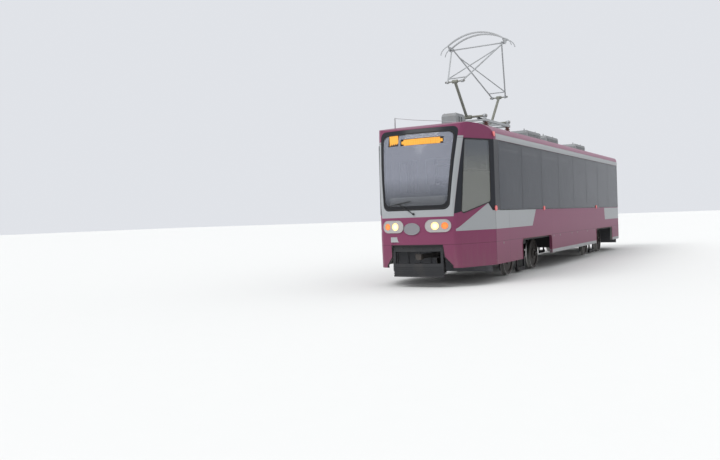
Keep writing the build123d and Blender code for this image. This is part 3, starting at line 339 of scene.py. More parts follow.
@dataclass(frozen=True)
class Livery:
    """Red body paint with silver flashes and black window surrounds, laid out in metres."""

    red: Colour = (0.234, 0.059, 0.124)
    silver: Colour = (0.37, 0.385, 0.40)
    black: Colour = (0.026, 0.028, 0.034)
    roof_grey: Colour = (0.30, 0.31, 0.32)
    trim: Colour = (0.30, 0.30, 0.28)
    dust: Colour = (0.23, 0.19, 0.165)
    band_low: float = 1.465
    band_top: float = 2.877
    cornice: Pair = (2.885, 3.000)
    cornice_front: float = 6.26
    roof_edge: float = 3.188
    face_x: float = 7.0
    nose_joint: float = 6.381
    joints: tuple[float, ...] = (5.55, 6.381, -6.111, 2.30, -2.60)
    joints_z: Pair = (0.835, 2.882)
    frame_z: Pair = (1.375, 2.92)
    frame_edge: Point = (0.775, 0.095, 1.416)
    surround: Point = (6.56, 1.640, 0.258)
    border: tuple[float, float, float, float, float] = (1.51, 3.115, 0.705, 0.85, 0.12)
    flash_low: float = 1.09
    flash_front: Point = (7.259, 1.200, 0.6015)
    flash_back: Point = (6.57, 1.610, 1.30)
    flash_rear: float = 3.62
    flash_split: float = 6.30
    flash_lean: float = 0.80
    rear_flash: Point = (-3.85, 1.08, 1.445)
    skirt_z: float = 0.465
    skirt_x: Pair = (-2.645, 2.345)
    rear_skirt: Pair = (-6.11, -5.005)

    def build(self) -> bpy.types.Material:
        """Write the material.

        Returns:
            The material.
        """
        g = Graph("body_paint")
        x, y, z = g.position()
        out = abs(y)
        start, lean, foot = self.frame_edge
        beside = out.over((z - foot) * lean + start, 0.006)
        band = self._black(x, out, z, beside) | self._screen_border(x, out, z)
        noise = g.noise(0.7, 4.0)
        fine = g.noise(90.0, 2.0)
        streak = g.noise(5.0, 4.0, (3.0, 3.0, 0.35))
        base = g.mix(noise * 0.6, self.red, tuple(c * 0.82 for c in self.red))
        base = g.mix(self._silver(x, out, z, beside), base, self.silver)
        base = g.mix(band, base, self.black)
        base = g.mix(z.over(self.roof_edge, 0.01) & x.under(self.nose_joint), base, self.roof_grey)
        low = (1.0 - (z - 0.38) / 0.9).clamped()
        dirt = (low * low * 0.34 * streak + (streak - 0.56).clamped() * 0.18).clamped()
        base = g.mix(dirt, base, self.dust)
        normal = g.node("ShaderNodeNewGeometry").outputs["Normal"]
        turned = g.node("ShaderNodeSeparateXYZ", None, {0: normal})
        nx, ny = Value(g, turned.outputs[0]), Value(g, turned.outputs[1])
        inside = (ny * y + nx * x * 0.12).under(-0.12, 0.05)
        base = g.mix(inside, base, self.trim)
        rough = 0.36 - band * 0.22 + dirt * 0.4 + inside * 0.25 + fine * 0.05
        joint = self._joints(x, z) & (1.0 - inside)
        base = g.mix(joint * 0.7, base, (0.03, 0.02, 0.022))
        height = g.noise(26.0, 1.0) * 0.4 + fine * 0.08 - joint * 3.0
        return g.surface(Base_Color=base, Roughness=rough, Normal=g.bump(height, 0.16, 0.004),
                         Coat_Weight=(0.02 - dirt * 0.3).clamped(), Coat_Roughness=0.1,
                         Specular_IOR_Level=0.13)

    def _silver(self, x: Value, out: Value, z: Value, beside: Value) -> Value:
        """Mask of the silver paint.

        Args:
            x: Place along the car.
            out: Distance from the middle plane.
            z: Height.
            beside: Mask of what lies beside the windscreen's frame.

        Returns:
            The mask.
        """
        cornice = z.between(*self.cornice) & x.under(self.cornice_front) & out.over(1.0)
        frame = (1.0 - beside) & x.over(self.face_x) & z.between(*self.frame_z)
        crest = self._crest(x, self.flash_front)
        flash = z.over(self.flash_low) & z.under(crest) & x.over(self.flash_split)
        rear_edge = (x + (z - self.band_low) * self.flash_lean).over(self.flash_rear)
        behind = x.under(self.flash_split + 0.002) & z.between(self.flash_low, self.band_low) & rear_edge
        tail_x, tail_low, tail_top = self.rear_flash
        tail = z.between(tail_low, tail_top) & (x + (tail_top - z) * 0.28).under(tail_x)
        skirt = z.under(self.skirt_z) & (x.between(*self.skirt_x) | x.between(*self.rear_skirt))
        return cornice | frame | ((flash | behind | tail | skirt) & out.over(0.80))

    def _crest(self, x: Value, front: Point) -> Value:
        """Edge that climbs from the window band to a peak and falls ahead of it.

        Args:
            x: Place along the car.
            front: Place, height and slope of the part ahead of the peak.

        Returns:
            The edge's height.
        """
        (x0, z0, fall), (x1, z1, climb) = front, self.flash_back
        ahead = (x0 - x) * fall + z0
        return (ahead & ((x - x1) * climb + z1) | self.band_low) & ahead

    def _black(self, x: Value, out: Value, z: Value, beside: Value) -> Value:
        """Mask of the black window surrounds.

        Args:
            x: Place along the car.
            out: Distance from the middle plane.
            z: Height.
            beside: Mask of what lies beside the windscreen's frame.

        Returns:
            The mask.
        """
        band = z.over(self._crest(x, self.surround)) & z.under(self.band_top)
        return band & ((beside & x.over(6.0)) | (out.over(0.92) & x.between(-7.22, 6.1)))

    def _screen_border(self, x: Value, out: Value, z: Value) -> Value:
        """Mask of the black border round the windscreen.

        Args:
            x: Place along the car.
            out: Distance from the middle plane.
            z: Height.

        Returns:
            The mask.
        """
        low, high, half_low, half_high, corner = self.border
        half = (z - low) * ((half_high - half_low) / (high - low)) + half_low
        dz = (abs(z - (low + high) / 2) - ((high - low) / 2 - corner)) | 0.0
        dy = (out - half + corner) | 0.0
        return ((dz * dz + dy * dy) ** 0.5).under(corner, 0.005) & x.over(self.face_x)

    def _joints(self, x: Value, z: Value) -> Value:
        """Mask of the thin joints between body panels.

        Args:
            x: Place along the car.
            z: Height.

        Returns:
            The mask.
        """
        skirt, cornice = (abs(z - height).under(0.003, 0.002) for height in self.joints_z)
        lines = skirt
        for place in self.joints:
            lines = lines | abs(x - place).under(0.0035, 0.002)
        return lines & z.under(self.band_low) | cornice


@dataclass(frozen=True)
class Paint:
    """Plain enamel on metal, with dust, chips and wear."""

    name: str
    colour: Colour
    rough: float = 0.4
    metal: float = 0.0
    grain: float = 30.0
    wear: float = 0.25
    worn: Colour = (0.20, 0.17, 0.15)
    depth: float = 0.0015

    def build(self) -> bpy.types.Material:
        """Write the material.

        Returns:
            The material.
        """
        g = Graph(self.name)
        patch = g.noise(2.2, 5.0)
        fine = g.noise(self.grain, 3.0)
        worn = ((patch - 0.52) * 3.0).clamped() * self.wear
        colour = g.mix(fine * 0.45, self.colour, tuple(c * 0.72 for c in self.colour))
        return g.surface(Base_Color=g.mix(worn, colour, self.worn), Metallic=self.metal,
                         Roughness=self.rough + fine * 0.16 + worn * 0.3,
                         Normal=g.bump(fine + patch * 0.4, 0.3, self.depth))


@dataclass(frozen=True)
class Moulded:
    """Plastic or rubber with a fine moulded grain."""

    name: str
    colour: Colour
    rough: float = 0.45
    grain: float = 220.0
    depth: float = 0.0004
    glow: Colour | None = None
    strength: float = 0.0

    def build(self) -> bpy.types.Material:
        """Write the material.

        Returns:
            The material.
        """
        g = Graph(self.name)
        fine = g.noise(self.grain, 2.0)
        wide = g.noise(4.0, 3.0)
        colour = g.mix(wide * 0.5, self.colour, tuple(c * 0.8 for c in self.colour))
        material = g.surface(Base_Color=colour, Roughness=self.rough + wide * 0.12,
                             Normal=g.bump(fine, 0.35, self.depth))
        if self.glow:
            g.surface(Emission_Color=self.glow, Emission_Strength=self.strength)
        return material


@dataclass(frozen=True)
class WheelSteel:
    """Wheel steel: bright tread, dark web with brake dust, centred on one axle."""

    name: str
    centre_x: float
    centre_z: float = AXLE_Z
    bright: Colour = (0.36, 0.35, 0.34)
    dull: Colour = (0.045, 0.040, 0.037)

    def build(self) -> bpy.types.Material:
        """Write the material.

        Returns:
            The material.
        """
        g = Graph(self.name)
        x, y, z = g.position()
        dx, dz = x - self.centre_x, z - self.centre_z
        radius = (dx * dx + dz * dz) ** 0.5
        tread = radius.over(0.3455, 0.004)
        rings = g.math("SINE", radius * 900.0) * 0.5 + 0.5
        rust = g.noise(14.0, 4.0)
        dull = g.mix(rust, self.dull, tuple(c * 1.9 for c in self.dull))
        return g.surface(Base_Color=g.mix(tread, dull, self.bright), Metallic=0.35 + tread * 0.6,
                         Roughness=0.62 - tread * 0.36 + rust * 0.12,
                         Normal=g.bump(rust + rings * 0.25, 0.3, 0.001))


@dataclass(frozen=True)
class Pane:
    """Window glass with a printed black border between a low and a high edge, a film of dust, and painted
    reflection and shade: its colour grades from the tint to a top colour between the fade heights.
    """

    name: str
    tint: Colour
    cover: float
    border: tuple[float, float, float, float] | None = None
    corner: float = 0.14
    # Painted reflection and shade: the colour that the glass grades to towards its top, between the fade
    # heights.
    top: Colour | None = None
    fade: Pair = (1.6, 2.9)
    gloss: float = 0.35
    clear: tuple[tuple[float, float, float, float], ...] = ()

    def build(self) -> bpy.types.Material:
        """Write the material.

        Returns:
            The material.
        """
        g = Graph(self.name)
        x, y, z = g.position()
        dust = g.noise(1.3, 5.0)
        fine = g.noise(14.0, 3.0, (1.0, 1.0, 0.5))
        film = ((dust - 0.35) * 0.5).clamped() * fine
        # Painted reflection and shade: the glass colour grades from the tint to the top colour between the
        # fade heights.
        low, high = self.fade
        ground = g.mix(((z - low) / (high - low)).clamped(), self.tint, self.top or self.tint)
        colour = g.mix(film * 0.35, ground, (0.40, 0.41, 0.42))
        alpha = self.cover + film * 0.22
        if self.border:
            low, high, half_low, half_high = self.border
            share = (z - low) / (high - low)
            half = share * (half_high - half_low) + half_low
            dz = abs(z - (low + high) / 2) - ((high - low) / 2 - self.corner)
            dy = abs(y) - (half - self.corner)
            dz, dy = g.math("MAXIMUM", dz, 0.0), g.math("MAXIMUM", dy, 0.0)
            edge = ((dz * dz + dy * dy) ** 0.5).over(self.corner, 0.005)
            colour = g.mix(edge, colour, (0.012, 0.012, 0.014))
            alpha = alpha + edge
        for y0, y1, z0, z1 in self.clear:
            alpha = alpha - (abs(y - (y0 + y1) / 2).under((y1 - y0) / 2, 0.008)
                             & abs(z - (z0 + z1) / 2).under((z1 - z0) / 2, 0.008)) * 0.9
        return g.surface(Base_Color=colour, Roughness=0.05 + film * 0.25, Alpha=alpha.clamped(),
                         IOR=1.5, Specular_IOR_Level=self.gloss,
                         Normal=g.bump(g.noise(2.0, 1.0), 0.02, 0.01))


@dataclass(frozen=True)
class Lamp:
    """Lit lens: a bright centre fading to its colour, with moulded ribs."""

    name: str
    middle: Colour
    rim: Colour
    centre_y: float
    radius: float
    strength: float
    centre_z: float = 1.20

    def build(self) -> bpy.types.Material:
        """Write the material.

        Returns:
            The material.
        """
        g = Graph(self.name)
        x, y, z = g.position()
        dy, dz = abs(y) - self.centre_y, z - self.centre_z
        away = ((dy * dy + dz * dz) ** 0.5 / self.radius).clamped()
        fade = away * away
        ribs = g.math("SINE", y * 420.0) * 0.5 + 0.5
        colour = g.mix(fade, self.middle, self.rim)
        return g.surface(Base_Color=colour, Emission_Color=colour, Emission_Strength=self.strength,
                         Roughness=0.12 + ribs * 0.08, Normal=g.bump(ribs, 0.4, 0.001), Coat_Weight=0.5)


@dataclass(frozen=True)
class Weave:
    """Woven seat cloth."""

    name: str
    colour: Colour
    thread: float = 480.0

    def build(self) -> bpy.types.Material:
        """Write the material.

        Returns:
            The material.
        """
        g = Graph(self.name)
        x, y, z = g.position()
        warp = g.math("SINE", y * self.thread) * 0.5 + 0.5
        weft = g.math("SINE", (x + z) * self.thread) * 0.5 + 0.5
        cloth = warp * weft
        spots = g.noise(60.0, 2.0)
        colour = g.mix(cloth * 0.5 + spots * 0.3, self.colour, tuple(c * 2.0 for c in self.colour))
        return g.surface(Base_Color=colour, Roughness=0.92, Sheen_Weight=0.3,
                         Normal=g.bump(cloth + spots * 0.5, 0.5, 0.0012))


@dataclass(frozen=True)
class Ground:
    """Pale stage that shows white to the camera and keeps the shadow."""

    name: str = "stage_floor"
    colour: Colour = (0.80, 0.80, 0.79)

    def build(self) -> bpy.types.Material:
        """Write the material.

        Returns:
            The material.
        """
        g = Graph(self.name)
        speckle = g.noise(3.0, 4.0)
        return g.surface(Base_Color=g.mix(speckle * 0.25, self.colour, tuple(c * 0.95 for c in self.colour)),
                         Roughness=0.85, Normal=g.bump(g.noise(40.0, 2.0), 0.05, 0.002))


class Shop:
    """Every finish, made once and looked up by name."""

    def __init__(self) -> None:
        """Build all materials."""
        finishes = {
            "livery": Livery(),
            # Windscreen: the pale blue top colour over heights 1.65 to 2.15 is a painted sky reflection.
            "windscreen": Pane("windscreen_glass", (0.12, 0.13, 0.15), 0.42, (1.60, 3.01, 0.655, 0.765), 0.12,
                               (0.40, 0.42, 0.50), (1.65, 2.15), 0.35,
                               ((-0.63, -0.39, 2.80, 3.035), (-0.335, 0.57, 2.795, 2.925))),
            "tinted": Pane("tinted_glass", (0.060, 0.067, 0.081), 0.80, gloss=0.16),
            # Cab glass: the pale tint and its grading to a darker top colour over heights 2.2 to 2.7 are
            # painted light and shade of the view through the cab.
            "cab_glass": Pane("cab_glass", (0.30, 0.31, 0.29),
                              0.55, top=(0.17, 0.185, 0.21), fade=(2.2, 2.7)),
            "rear_glass": Pane("rear_glass", (0.06, 0.066, 0.076),
                               0.66, (1.70, 2.72, 0.685, 0.705), 0.10),
            "bezel": Moulded("lamp_bezel", (0.44, 0.42, 0.42), 0.3),
            "white_lamp": Lamp("white_lamp", (1.0, 0.88, 0.50), (0.95, 0.52, 0.10), 0.425, 0.085, 0.9),
            "amber_lamp": Lamp("amber_lamp", (0.85, 0.24, 0.045),
                               (0.62, 0.09, 0.02), 0.612, 0.080, 0.55),
            "tail_lamp": Moulded("tail_lamp_lens", (0.42, 0.012, 0.012), 0.16, 120.0, 0.001),
            "tail_amber": Moulded("tail_amber_lens", (0.72, 0.20, 0.02), 0.16, 120.0, 0.001),
            "marker": Moulded("marker_lens", (0.50, 0.075, 0.075),
                              0.25, 150.0, 0.0008, (0.9, 0.20, 0.20), 0.30),
            "rubber": Moulded("seal_rubber", (0.012, 0.012, 0.013), 0.6),
            "cable": Moulded("cable_rubber", (0.020, 0.020, 0.022), 0.55, 120.0),
            "gutter": Paint("gutter_silver", (0.34, 0.35, 0.36),
                            0.45, 0.1, 60.0, 0.4, (0.20, 0.18, 0.16), 0.0008),
            # Grey of the plates behind the bumpers, which stand in for the shade of the recess.
            "bulkhead": Paint("shade_bulkhead_grey", (0.15, 0.155, 0.17),
                              0.6, 0.0, 26.0, 0.5, (0.13, 0.11, 0.10)),
            "lip": Paint("lip_red", (0.20, 0.040, 0.075), 0.45, 0.0, 60.0, 0.5, (0.15, 0.10, 0.09),
                         0.0008),
            "strip_light": Moulded("strip_light", (0.70, 0.71, 0.70),
                                   0.4, 90.0, 0.0004, (0.95, 0.97, 1.0), 0.35),
            "floor": Moulded("floor_rubber", (0.045, 0.045, 0.048), 0.7, 60.0, 0.002),
            "cab_plastic": Moulded("cab_plastic", (0.030, 0.031, 0.034), 0.5),
            "pale_plastic": Moulded("pale_plastic", (0.40, 0.40, 0.38), 0.45),
            "case_black": Moulded("case_black", (0.008, 0.008, 0.009), 0.5),
            "amber_block": Moulded("amber_block", (0.45, 0.22, 0.05),
                                   0.5, 200.0, 0.0003, (1.0, 0.43, 0.03), 0.72),
            "bumper": Paint("bumper_black", (0.022, 0.023, 0.026),
                            0.5, 0.0, 40.0, 0.5, (0.10, 0.085, 0.075)),
            "frame": Paint("frame_grey", (0.040, 0.040, 0.043),
                           0.6, 0.0, 26.0, 0.7, (0.13, 0.10, 0.08)),
            "bogie": Paint("bogie_casting", (0.030, 0.028, 0.027),
                           0.65, 0.1, 24.0, 0.8, (0.14, 0.095, 0.065), 0.003),
            "motor": Paint("motor_iron", (0.022, 0.022, 0.024),
                           0.6, 0.2, 40.0, 0.7, (0.12, 0.08, 0.055), 0.003),
            "coupler": Paint("coupler_steel", (0.055, 0.052, 0.050),
                             0.5, 0.3, 50.0, 0.7, (0.14, 0.10, 0.075)),
            "steel": Paint("bare_steel", (0.30, 0.29, 0.28), 0.35, 0.85, 50.0, 0.6, (0.16, 0.10, 0.07)),
            "seat": Moulded("seat_shell", (0.33, 0.035, 0.045), 0.4, 90.0, 0.0005),
            "cloth": Weave("seat_cloth", (0.030, 0.036, 0.055)),
            "rail": Paint("handrail_steel", (0.60, 0.60, 0.58),
                          0.25, 0.9, 140.0, 0.05, (0.4, 0.38, 0.36), 0.0003),
            "panel": Paint("panel_grey", (0.46, 0.46, 0.44),
                           0.5, 0.0, 60.0, 0.15, (0.3, 0.29, 0.27), 0.0006),
            "roof_box": Paint("roof_box_grey", (0.31, 0.32, 0.33),
                              0.5, 0.1, 30.0, 0.5, (0.20, 0.17, 0.14)),
            "glaze": Moulded("insulator_glaze", (0.16, 0.040, 0.022), 0.14, 30.0, 0.0006),
            "mast": Paint("pantograph_grey", (0.45, 0.465, 0.48),
                          0.5, 0.1, 60.0, 0.35, (0.25, 0.22, 0.19)),
            "mast_low": Paint("lower_arm_grey", (0.25, 0.255, 0.22),
                              0.5, 0.1, 60.0, 0.6, (0.19, 0.16, 0.12)),
            "carbon": Moulded("carbon_strip", (0.020, 0.020, 0.022), 0.35, 60.0, 0.001),
            "plate": Paint("blank_plate", (0.27, 0.265, 0.285),
                           0.38, 0.3, 90.0, 0.2, (0.20, 0.19, 0.19), 0.0006),
            "pale_plate": Paint("pale_plate", (0.42, 0.43, 0.44),
                                0.4, 0.1, 90.0, 0.15, (0.30, 0.29, 0.28), 0.0006),
            "stage": Ground(),
        }
        for i, centre in enumerate(AXLES_X, 1):
            finishes[f"wheel_{i}"] = WheelSteel(f"wheel_steel_{i}", centre)
        self.materials = {key: finish.build() for key, finish in finishes.items()}

    def __getitem__(self, key: str) -> bpy.types.Material:
        """Material by name."""
        return self.materials[key]


# Modelling


class Bench:
    """Modelling by operators, as by hand, with every finished mesh placed at the origin."""

    @staticmethod
    def clear() -> None:
        """Deselect everything in object mode."""
        if bpy.context.object and bpy.context.object.mode != "OBJECT":
            bpy.ops.object.mode_set(mode="OBJECT")
        bpy.ops.object.select_all(action="DESELECT")

    @staticmethod
    def settle(name: str) -> bpy.types.Object:
        """Name the active object and apply its place.

        Args:
            name: The piece's name.

        Returns:
            The object.
        """
        obj = bpy.context.object
        obj.name = name
        obj.data.name = name
        bpy.ops.object.transform_apply(location=True, rotation=True, scale=True)
        return obj

    @staticmethod
    def edit(obj: bpy.types.Object, work: Callable[[], None]) -> None:
        """Run operators in edit mode with all of the mesh selected.

        Args:
            obj: The mesh object.
            work: What to do with it.
        """
        Bench.clear()
        obj.select_set(True)
        bpy.context.view_layer.objects.active = obj
        bpy.ops.object.mode_set(mode="EDIT")
        bpy.ops.mesh.select_mode(type="VERT")
        bpy.ops.mesh.select_all(action="SELECT")
        work()
        bpy.ops.object.mode_set(mode="OBJECT")

    @staticmethod
    def faces(obj: bpy.types.Object, normal: Point, work: Callable[[], None]) -> None:
        """Run operators on the faces that point one way.

        Args:
            obj: The mesh object.
            normal: The direction.
            work: What to do with them.
        """
        Bench.clear()
        obj.select_set(True)
        bpy.context.view_layer.objects.active = obj
        bpy.ops.object.mode_set(mode="EDIT")
        bpy.ops.mesh.select_mode(type="FACE")
        bpy.ops.mesh.select_all(action="DESELECT")
        bpy.ops.object.mode_set(mode="OBJECT")
        way = Vector(normal).normalized()
        for face in obj.data.polygons:
            face.select = face.normal.dot(way) > 0.95
        bpy.ops.object.mode_set(mode="EDIT")
        work()
        bpy.ops.object.mode_set(mode="OBJECT")

    @staticmethod
    def block(name: str, low: Point, high: Point, bevel: float = 0.0, segments: int = 2) -> bpy.types.Object:
        """Block between two corners with rounded edges.

        Args:
            name: The piece's name.
            low: Lowest corner.
            high: Highest corner.
            bevel: Width of the edge rounding.
            segments: Steps in the rounding.

        Returns:
            The block.
        """
        Bench.clear()
        a, b = Vector(low), Vector(high)
        bpy.ops.mesh.primitive_cube_add(size=1.0, location=(a + b) / 2, scale=b - a)
        obj = Bench.settle(name)
        if bevel:
            Bench.edit(obj, lambda: bpy.ops.mesh.bevel(offset=bevel, segments=segments, affect="EDGES"))
        return obj

    @staticmethod
    def round(name: str, start: Point, end: Point, radius: float, sides: int = 20,
              bevel: float = 0.0) -> bpy.types.Object:
        """Round bar between two points, its rims rounded.

        Args:
            name: The piece's name.
            start: Centre of one end.
            end: Centre of the other end.
            radius: The bar's radius.
            sides: Number of flats.
            bevel: Width of the rim rounding.

        Returns:
            The bar.
        """
        Bench.clear()
        a, b = Vector(start), Vector(end)
        turn = (b - a).to_track_quat("Z", "Y").to_euler()
        bpy.ops.mesh.primitive_cylinder_add(vertices=sides, radius=radius, depth=(b - a).length,
                                            location=(a + b) / 2, rotation=turn)
        obj = Bench.settle(name)
        if bevel:
            for way in ((b - a), (a - b)):
                Bench.faces(obj, tuple(way),
                            lambda: bpy.ops.mesh.bevel(offset=bevel, segments=2, affect="EDGES"))
        return obj

    @staticmethod
    def ring(name: str, centre: Point, axis: Point, major: float, minor: float,
             sides: int = 32) -> bpy.types.Object:
        """Ring of round section about an axis.

        Args:
            name: The piece's name.
            centre: The ring's centre.
            axis: Direction of its axis.
            major: Radius of the ring.
            minor: Radius of its section.
            sides: Steps round the ring.

        Returns:
            The ring.
        """
        Bench.clear()
        turn = Vector(axis).to_track_quat("Z", "Y").to_euler()
        bpy.ops.mesh.primitive_torus_add(location=centre, rotation=turn, major_radius=major,
                                         minor_radius=minor, major_segments=sides, minor_segments=8)
        return Bench.settle(name)

    @staticmethod
    def tube(name: str, points: Sequence[Point], radius: float, closed: bool = False,
             sides: int = 2) -> bpy.types.Object:
        """Tube along points.

        Args:
            name: The piece's name.
            points: Points of the centre line.
            radius: The tube's radius.
            closed: Whether the line returns to its start.
            sides: Steps in each quarter of the section.

        Returns:
            The tube as a mesh.
        """
        Bench.clear()
        bpy.ops.curve.primitive_nurbs_path_add()
        curve = bpy.context.object.data
        curve.splines.clear()
        spline = curve.splines.new("POLY")
        spline.points.add(len(points) - 1)
        for point, place in zip(spline.points, points):
            point.co = (*place, 1.0)
        spline.use_cyclic_u = closed
        curve.dimensions = "3D"
        curve.bevel_depth = radius
        curve.bevel_resolution = sides
        curve.use_fill_caps = not closed
        bpy.ops.object.convert(target="MESH")
        return Bench.settle(name)

    @staticmethod
    def resized(obj: bpy.types.Object, factor: Point, centre: Point) -> bpy.types.Object:
        """Stretch or flatten a piece about a point."""
        Bench.edit(obj, lambda: bpy.ops.transform.resize(value=factor, center_override=centre))
        return obj

    @staticmethod
    def hexes(name: str, places: Iterable[tuple[Point, Point]], radius: float) -> bpy.types.Object:
        """Hexagon heads, each from a point to another, with their rims taken off."""
        heads = [Bench.round("head", start, end, radius, 6, radius * 0.12) for start, end in places]
        return Bench.join(name, heads)

    @staticmethod
    def join(name: str, parts: Iterable[bpy.types.Object]) -> bpy.types.Object:
        """Join meshes into one piece.

        Args:
            name: The piece's name.
            parts: The meshes.

        Returns:
            The piece.
        """
        parts = list(parts)
        Bench.clear()
        for part in parts:
            part.select_set(True)
        bpy.context.view_layer.objects.active = parts[0]
        if len(parts) > 1:
            bpy.ops.object.join()
        parts[0].name = name
        parts[0].data.name = name
        return parts[0]

    @staticmethod
    def smooth(obj: bpy.types.Object, degrees: float = 35.0) -> None:
        """Shade smooth below an angle.

        Args:
            obj: The piece.
            degrees: The angle between faces up to which it is smooth.
        """
        Bench.clear()
        obj.select_set(True)
        bpy.context.view_layer.objects.active = obj
        bpy.ops.object.shade_smooth_by_angle(angle=math.radians(degrees))


@dataclass
class Fitter:
    """Puts finished pieces on their bodies with their finishes."""

    shop: Shop
    count: int = 0

    def fit(self, obj: bpy.types.Object, body: Body | str, finish: str, slot: str,
            smooth: float = 35.0) -> None:
        """Dress one piece and mount it.

        Args:
            obj: The piece.
            body: The body that it rides on.
            finish: The finish's name.
            slot: The record's material slot; not used.
            smooth: Angle below which it is shaded smooth.
        """
        obj.data.materials.clear()
        obj.data.materials.append(self.shop[finish])
        Bench.smooth(obj, smooth)
        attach(obj, body.value if isinstance(body, Body) else body)
        self.count += 1
        LOG.info("piece %s on %s in %s, %d faces", obj.name, body, finish, len(obj.data.polygons))


# Body forms


@dataclass(frozen=True)
class EndForm:
    """Outer form of one end: tapered sides and a bowed, leaning front, in metres."""

    way: float
    joint: float
    taper: float
    sections: tuple[Point, ...]
    half_width: float = 1.25
    corner: float = 0.095
    turn: Pair = (0.62, 0.78)

    def side_y(self, x: float) -> float:
        """Half width at a distance x from the middle."""
        return self.half_width - (x - self.joint) * math.tan(math.radians(self.taper))

    def face_x(self, y: float, z: float) -> float:
        """Distance of the front face from the middle, at a point of it.

        Args:
            y: Place across the car.
            z: Height.

        Returns:
            The distance.
        """
        for low, high in zip(self.sections, self.sections[1:]):
            if low[0] <= z <= high[0]:
                share = (z - low[0]) / (high[0] - low[0])
                _, nose, setback = [a + (b - a) * share for a, b in zip(low, high)]
                side = self.side_y(nose - setback) - self.corner * self.turn[1]
                sag = setback - self.corner * self.turn[0]
                radius = (side**2 + sag**2) / (2 * sag)
                return nose - radius + math.sqrt(radius**2 - y**2)
        return self.sections[-1][1]

    def on_face(self, y: float, z: float, lift: float = 0.0) -> Point:
        """Point on the front face, lifted off it."""
        return (self.way * (self.face_x(y, z) + lift), y, z)

    def on_side(self, x: float, z: float, side: Side, lift: float = 0.0) -> Point:
        """Point on a tapered side, lifted off it.

        Args:
            x: Distance from the middle.
            z: Height.
            side: The side of the car.
            lift: Distance off the surface.

        Returns:
            The point.
        """
        lean = math.radians(self.taper)
        out = self.side_y(x) + lift * math.cos(lean)
        return (self.way * (x + lift * math.sin(lean)), side.value * out, z)


FRONT = EndForm(1.0, 6.38, 23.2, ((0.38, 7.44, 0.19), (0.86, 7.53, 0.19), (1.18, 7.55, 0.19),
                                  (1.64, 7.54, 0.188), (2.06, 7.508, 0.186), (2.46, 7.45, 0.184),
                                  (2.86, 7.36, 0.182), (3.33, 7.23, 0.18)))
REAR = EndForm(-1.0, 6.11, 16.5, ((0.38, 7.47, 0.16), (0.86, 7.53, 0.16), (1.18, 7.55, 0.16),
                                  (1.50, 7.51, 0.15), (3.33, 7.36, 0.15)))


def rounded(corners: Sequence[Pair], radius: float, steps: int = 6,
            run: float = 0.12) -> list[Pair]:
    """Outline through corners with rounded turns, and extra points along its straight runs.

    Args:
        corners: The corner points in order.
        radius: Radius of the turns.
        steps: Points in each turn.
        run: Greatest distance between points on a straight run.

    Returns:
        The outline's points.
    """
    outline: list[Pair] = []
    count = len(corners)
    for i, (cx, cy) in enumerate(corners):
        here = Vector((cx, cy))
        back = (Vector(corners[i - 1]) - here).normalized()
        ahead = (Vector(corners[(i + 1) % count]) - here).normalized()
        half = math.acos(max(-1.0, min(1.0, back.dot(ahead)))) / 2
        reach = radius / math.tan(half)
        middle = here + (back + ahead).normalized() * (radius / math.sin(half))
        start, end = here + back * reach - middle, here + ahead * reach - middle
        for k in range(steps + 1):
            arm = start.slerp(end, k / steps) if start.length > 1e-9 else start
            outline.append(tuple(middle + arm.normalized() * radius))
    filled: list[Pair] = []
    for a, b in zip(outline, outline[1:] + outline[:1]):
        pieces = max(1, math.ceil(math.dist(a, b) / run))
        filled += [(a[0] + (b[0] - a[0]) * k / pieces, a[1] + (b[1] - a[1]) * k / pieces)
                   for k in range(pieces)]
    return filled


def ellipse(centre: Pair, half: Pair, count: int) -> list[Pair]:
    """Points of an ellipse.

    Args:
        centre: Its centre.
        half: Its half axes.
        count: Number of points.

    Returns:
        The points in order.
    """
    angles = [math.tau * k / count for k in range(count)]
    return [(centre[0] + half[0] * math.cos(a), centre[1] + half[1] * math.sin(a)) for a in angles]


# Assemblies


@dataclass
class CarFinish:
    """Finishes of the pieces that come with the frame."""

    shop: Shop
    finishes: dict[str, tuple[str, ...]] = field(default_factory=lambda: {
        "livery": ("front_mask", "rear_mask", "side_wall_left", "side_wall_right", "roof",
                   "door_front", "door_middle_front", "door_middle_rear", "door_rear"),
        "windscreen": ("windscreen",), "cab_glass": ("cab_side_glass",),
        "rear_glass": ("rear_window",),
        "tinted": ("rear_quarter_glass", "side_glass_left", "side_glass_right", "door_glass"),
        "bezel": ("headlamp_bezels", "tail_lamp_bezels"),
        "white_lamp": ("headlamps",), "amber_lamp": ("front_indicators",), "tail_lamp": ("tail_lamps",),
        "marker": ("side_markers",), "floor": ("floor", "entrance_steps"), "cab_plastic": ("cab_desk",),
        "case_black": ("destination_box",),
        "frame": ("underframe", "underfloor_boxes", "body_bolsters", "draft_gear"),
        "bumper": ("front_bumper", "rear_bumper"), "coupler": ("coupler_front", "coupler_rear"),
        "rubber": ("wiper",), "panel": ("cab_partition",), "seat": ("saloon_seats",), "rail": ("handrails",),
        "bogie": ("front_bogie_frame", "rear_bogie_frame", "front_bogie_bolster", "rear_bogie_bolster"),
        "motor": ("front_bogie_motors", "rear_bogie_motors",
                  "front_bogie_rail_brakes", "rear_bogie_rail_brakes"),
        "roof_box": ("roof_gear", "resistor_boxes"), "glaze": ("pantograph_insulators",),
        "mast": ("pantograph_base", "pantograph_front_frame", "pantograph_rear_frame", "pantograph_head"),
        "mast_low": ("pantograph_front_arm", "pantograph_rear_arm"),
        "wheel_1": ("wheelset_1",), "wheel_2": ("wheelset_2",),
        "wheel_3": ("wheelset_3",), "wheel_4": ("wheelset_4",),
    })

    def dress(self, nodes: dict[str, bpy.types.Object]) -> None:
        """Give every frame node its finish.

        Args:
            nodes: The frame's nodes by name.
        """
        for finish, names in self.finishes.items():
            for name in names:
                if name in nodes:
                    node = nodes[name]
                    node.data.materials.clear()
                    node.data.materials.append(self.shop[finish])
                    Bench.smooth(node, 30.0)
                    LOG.info("node %s in %s", name, finish)


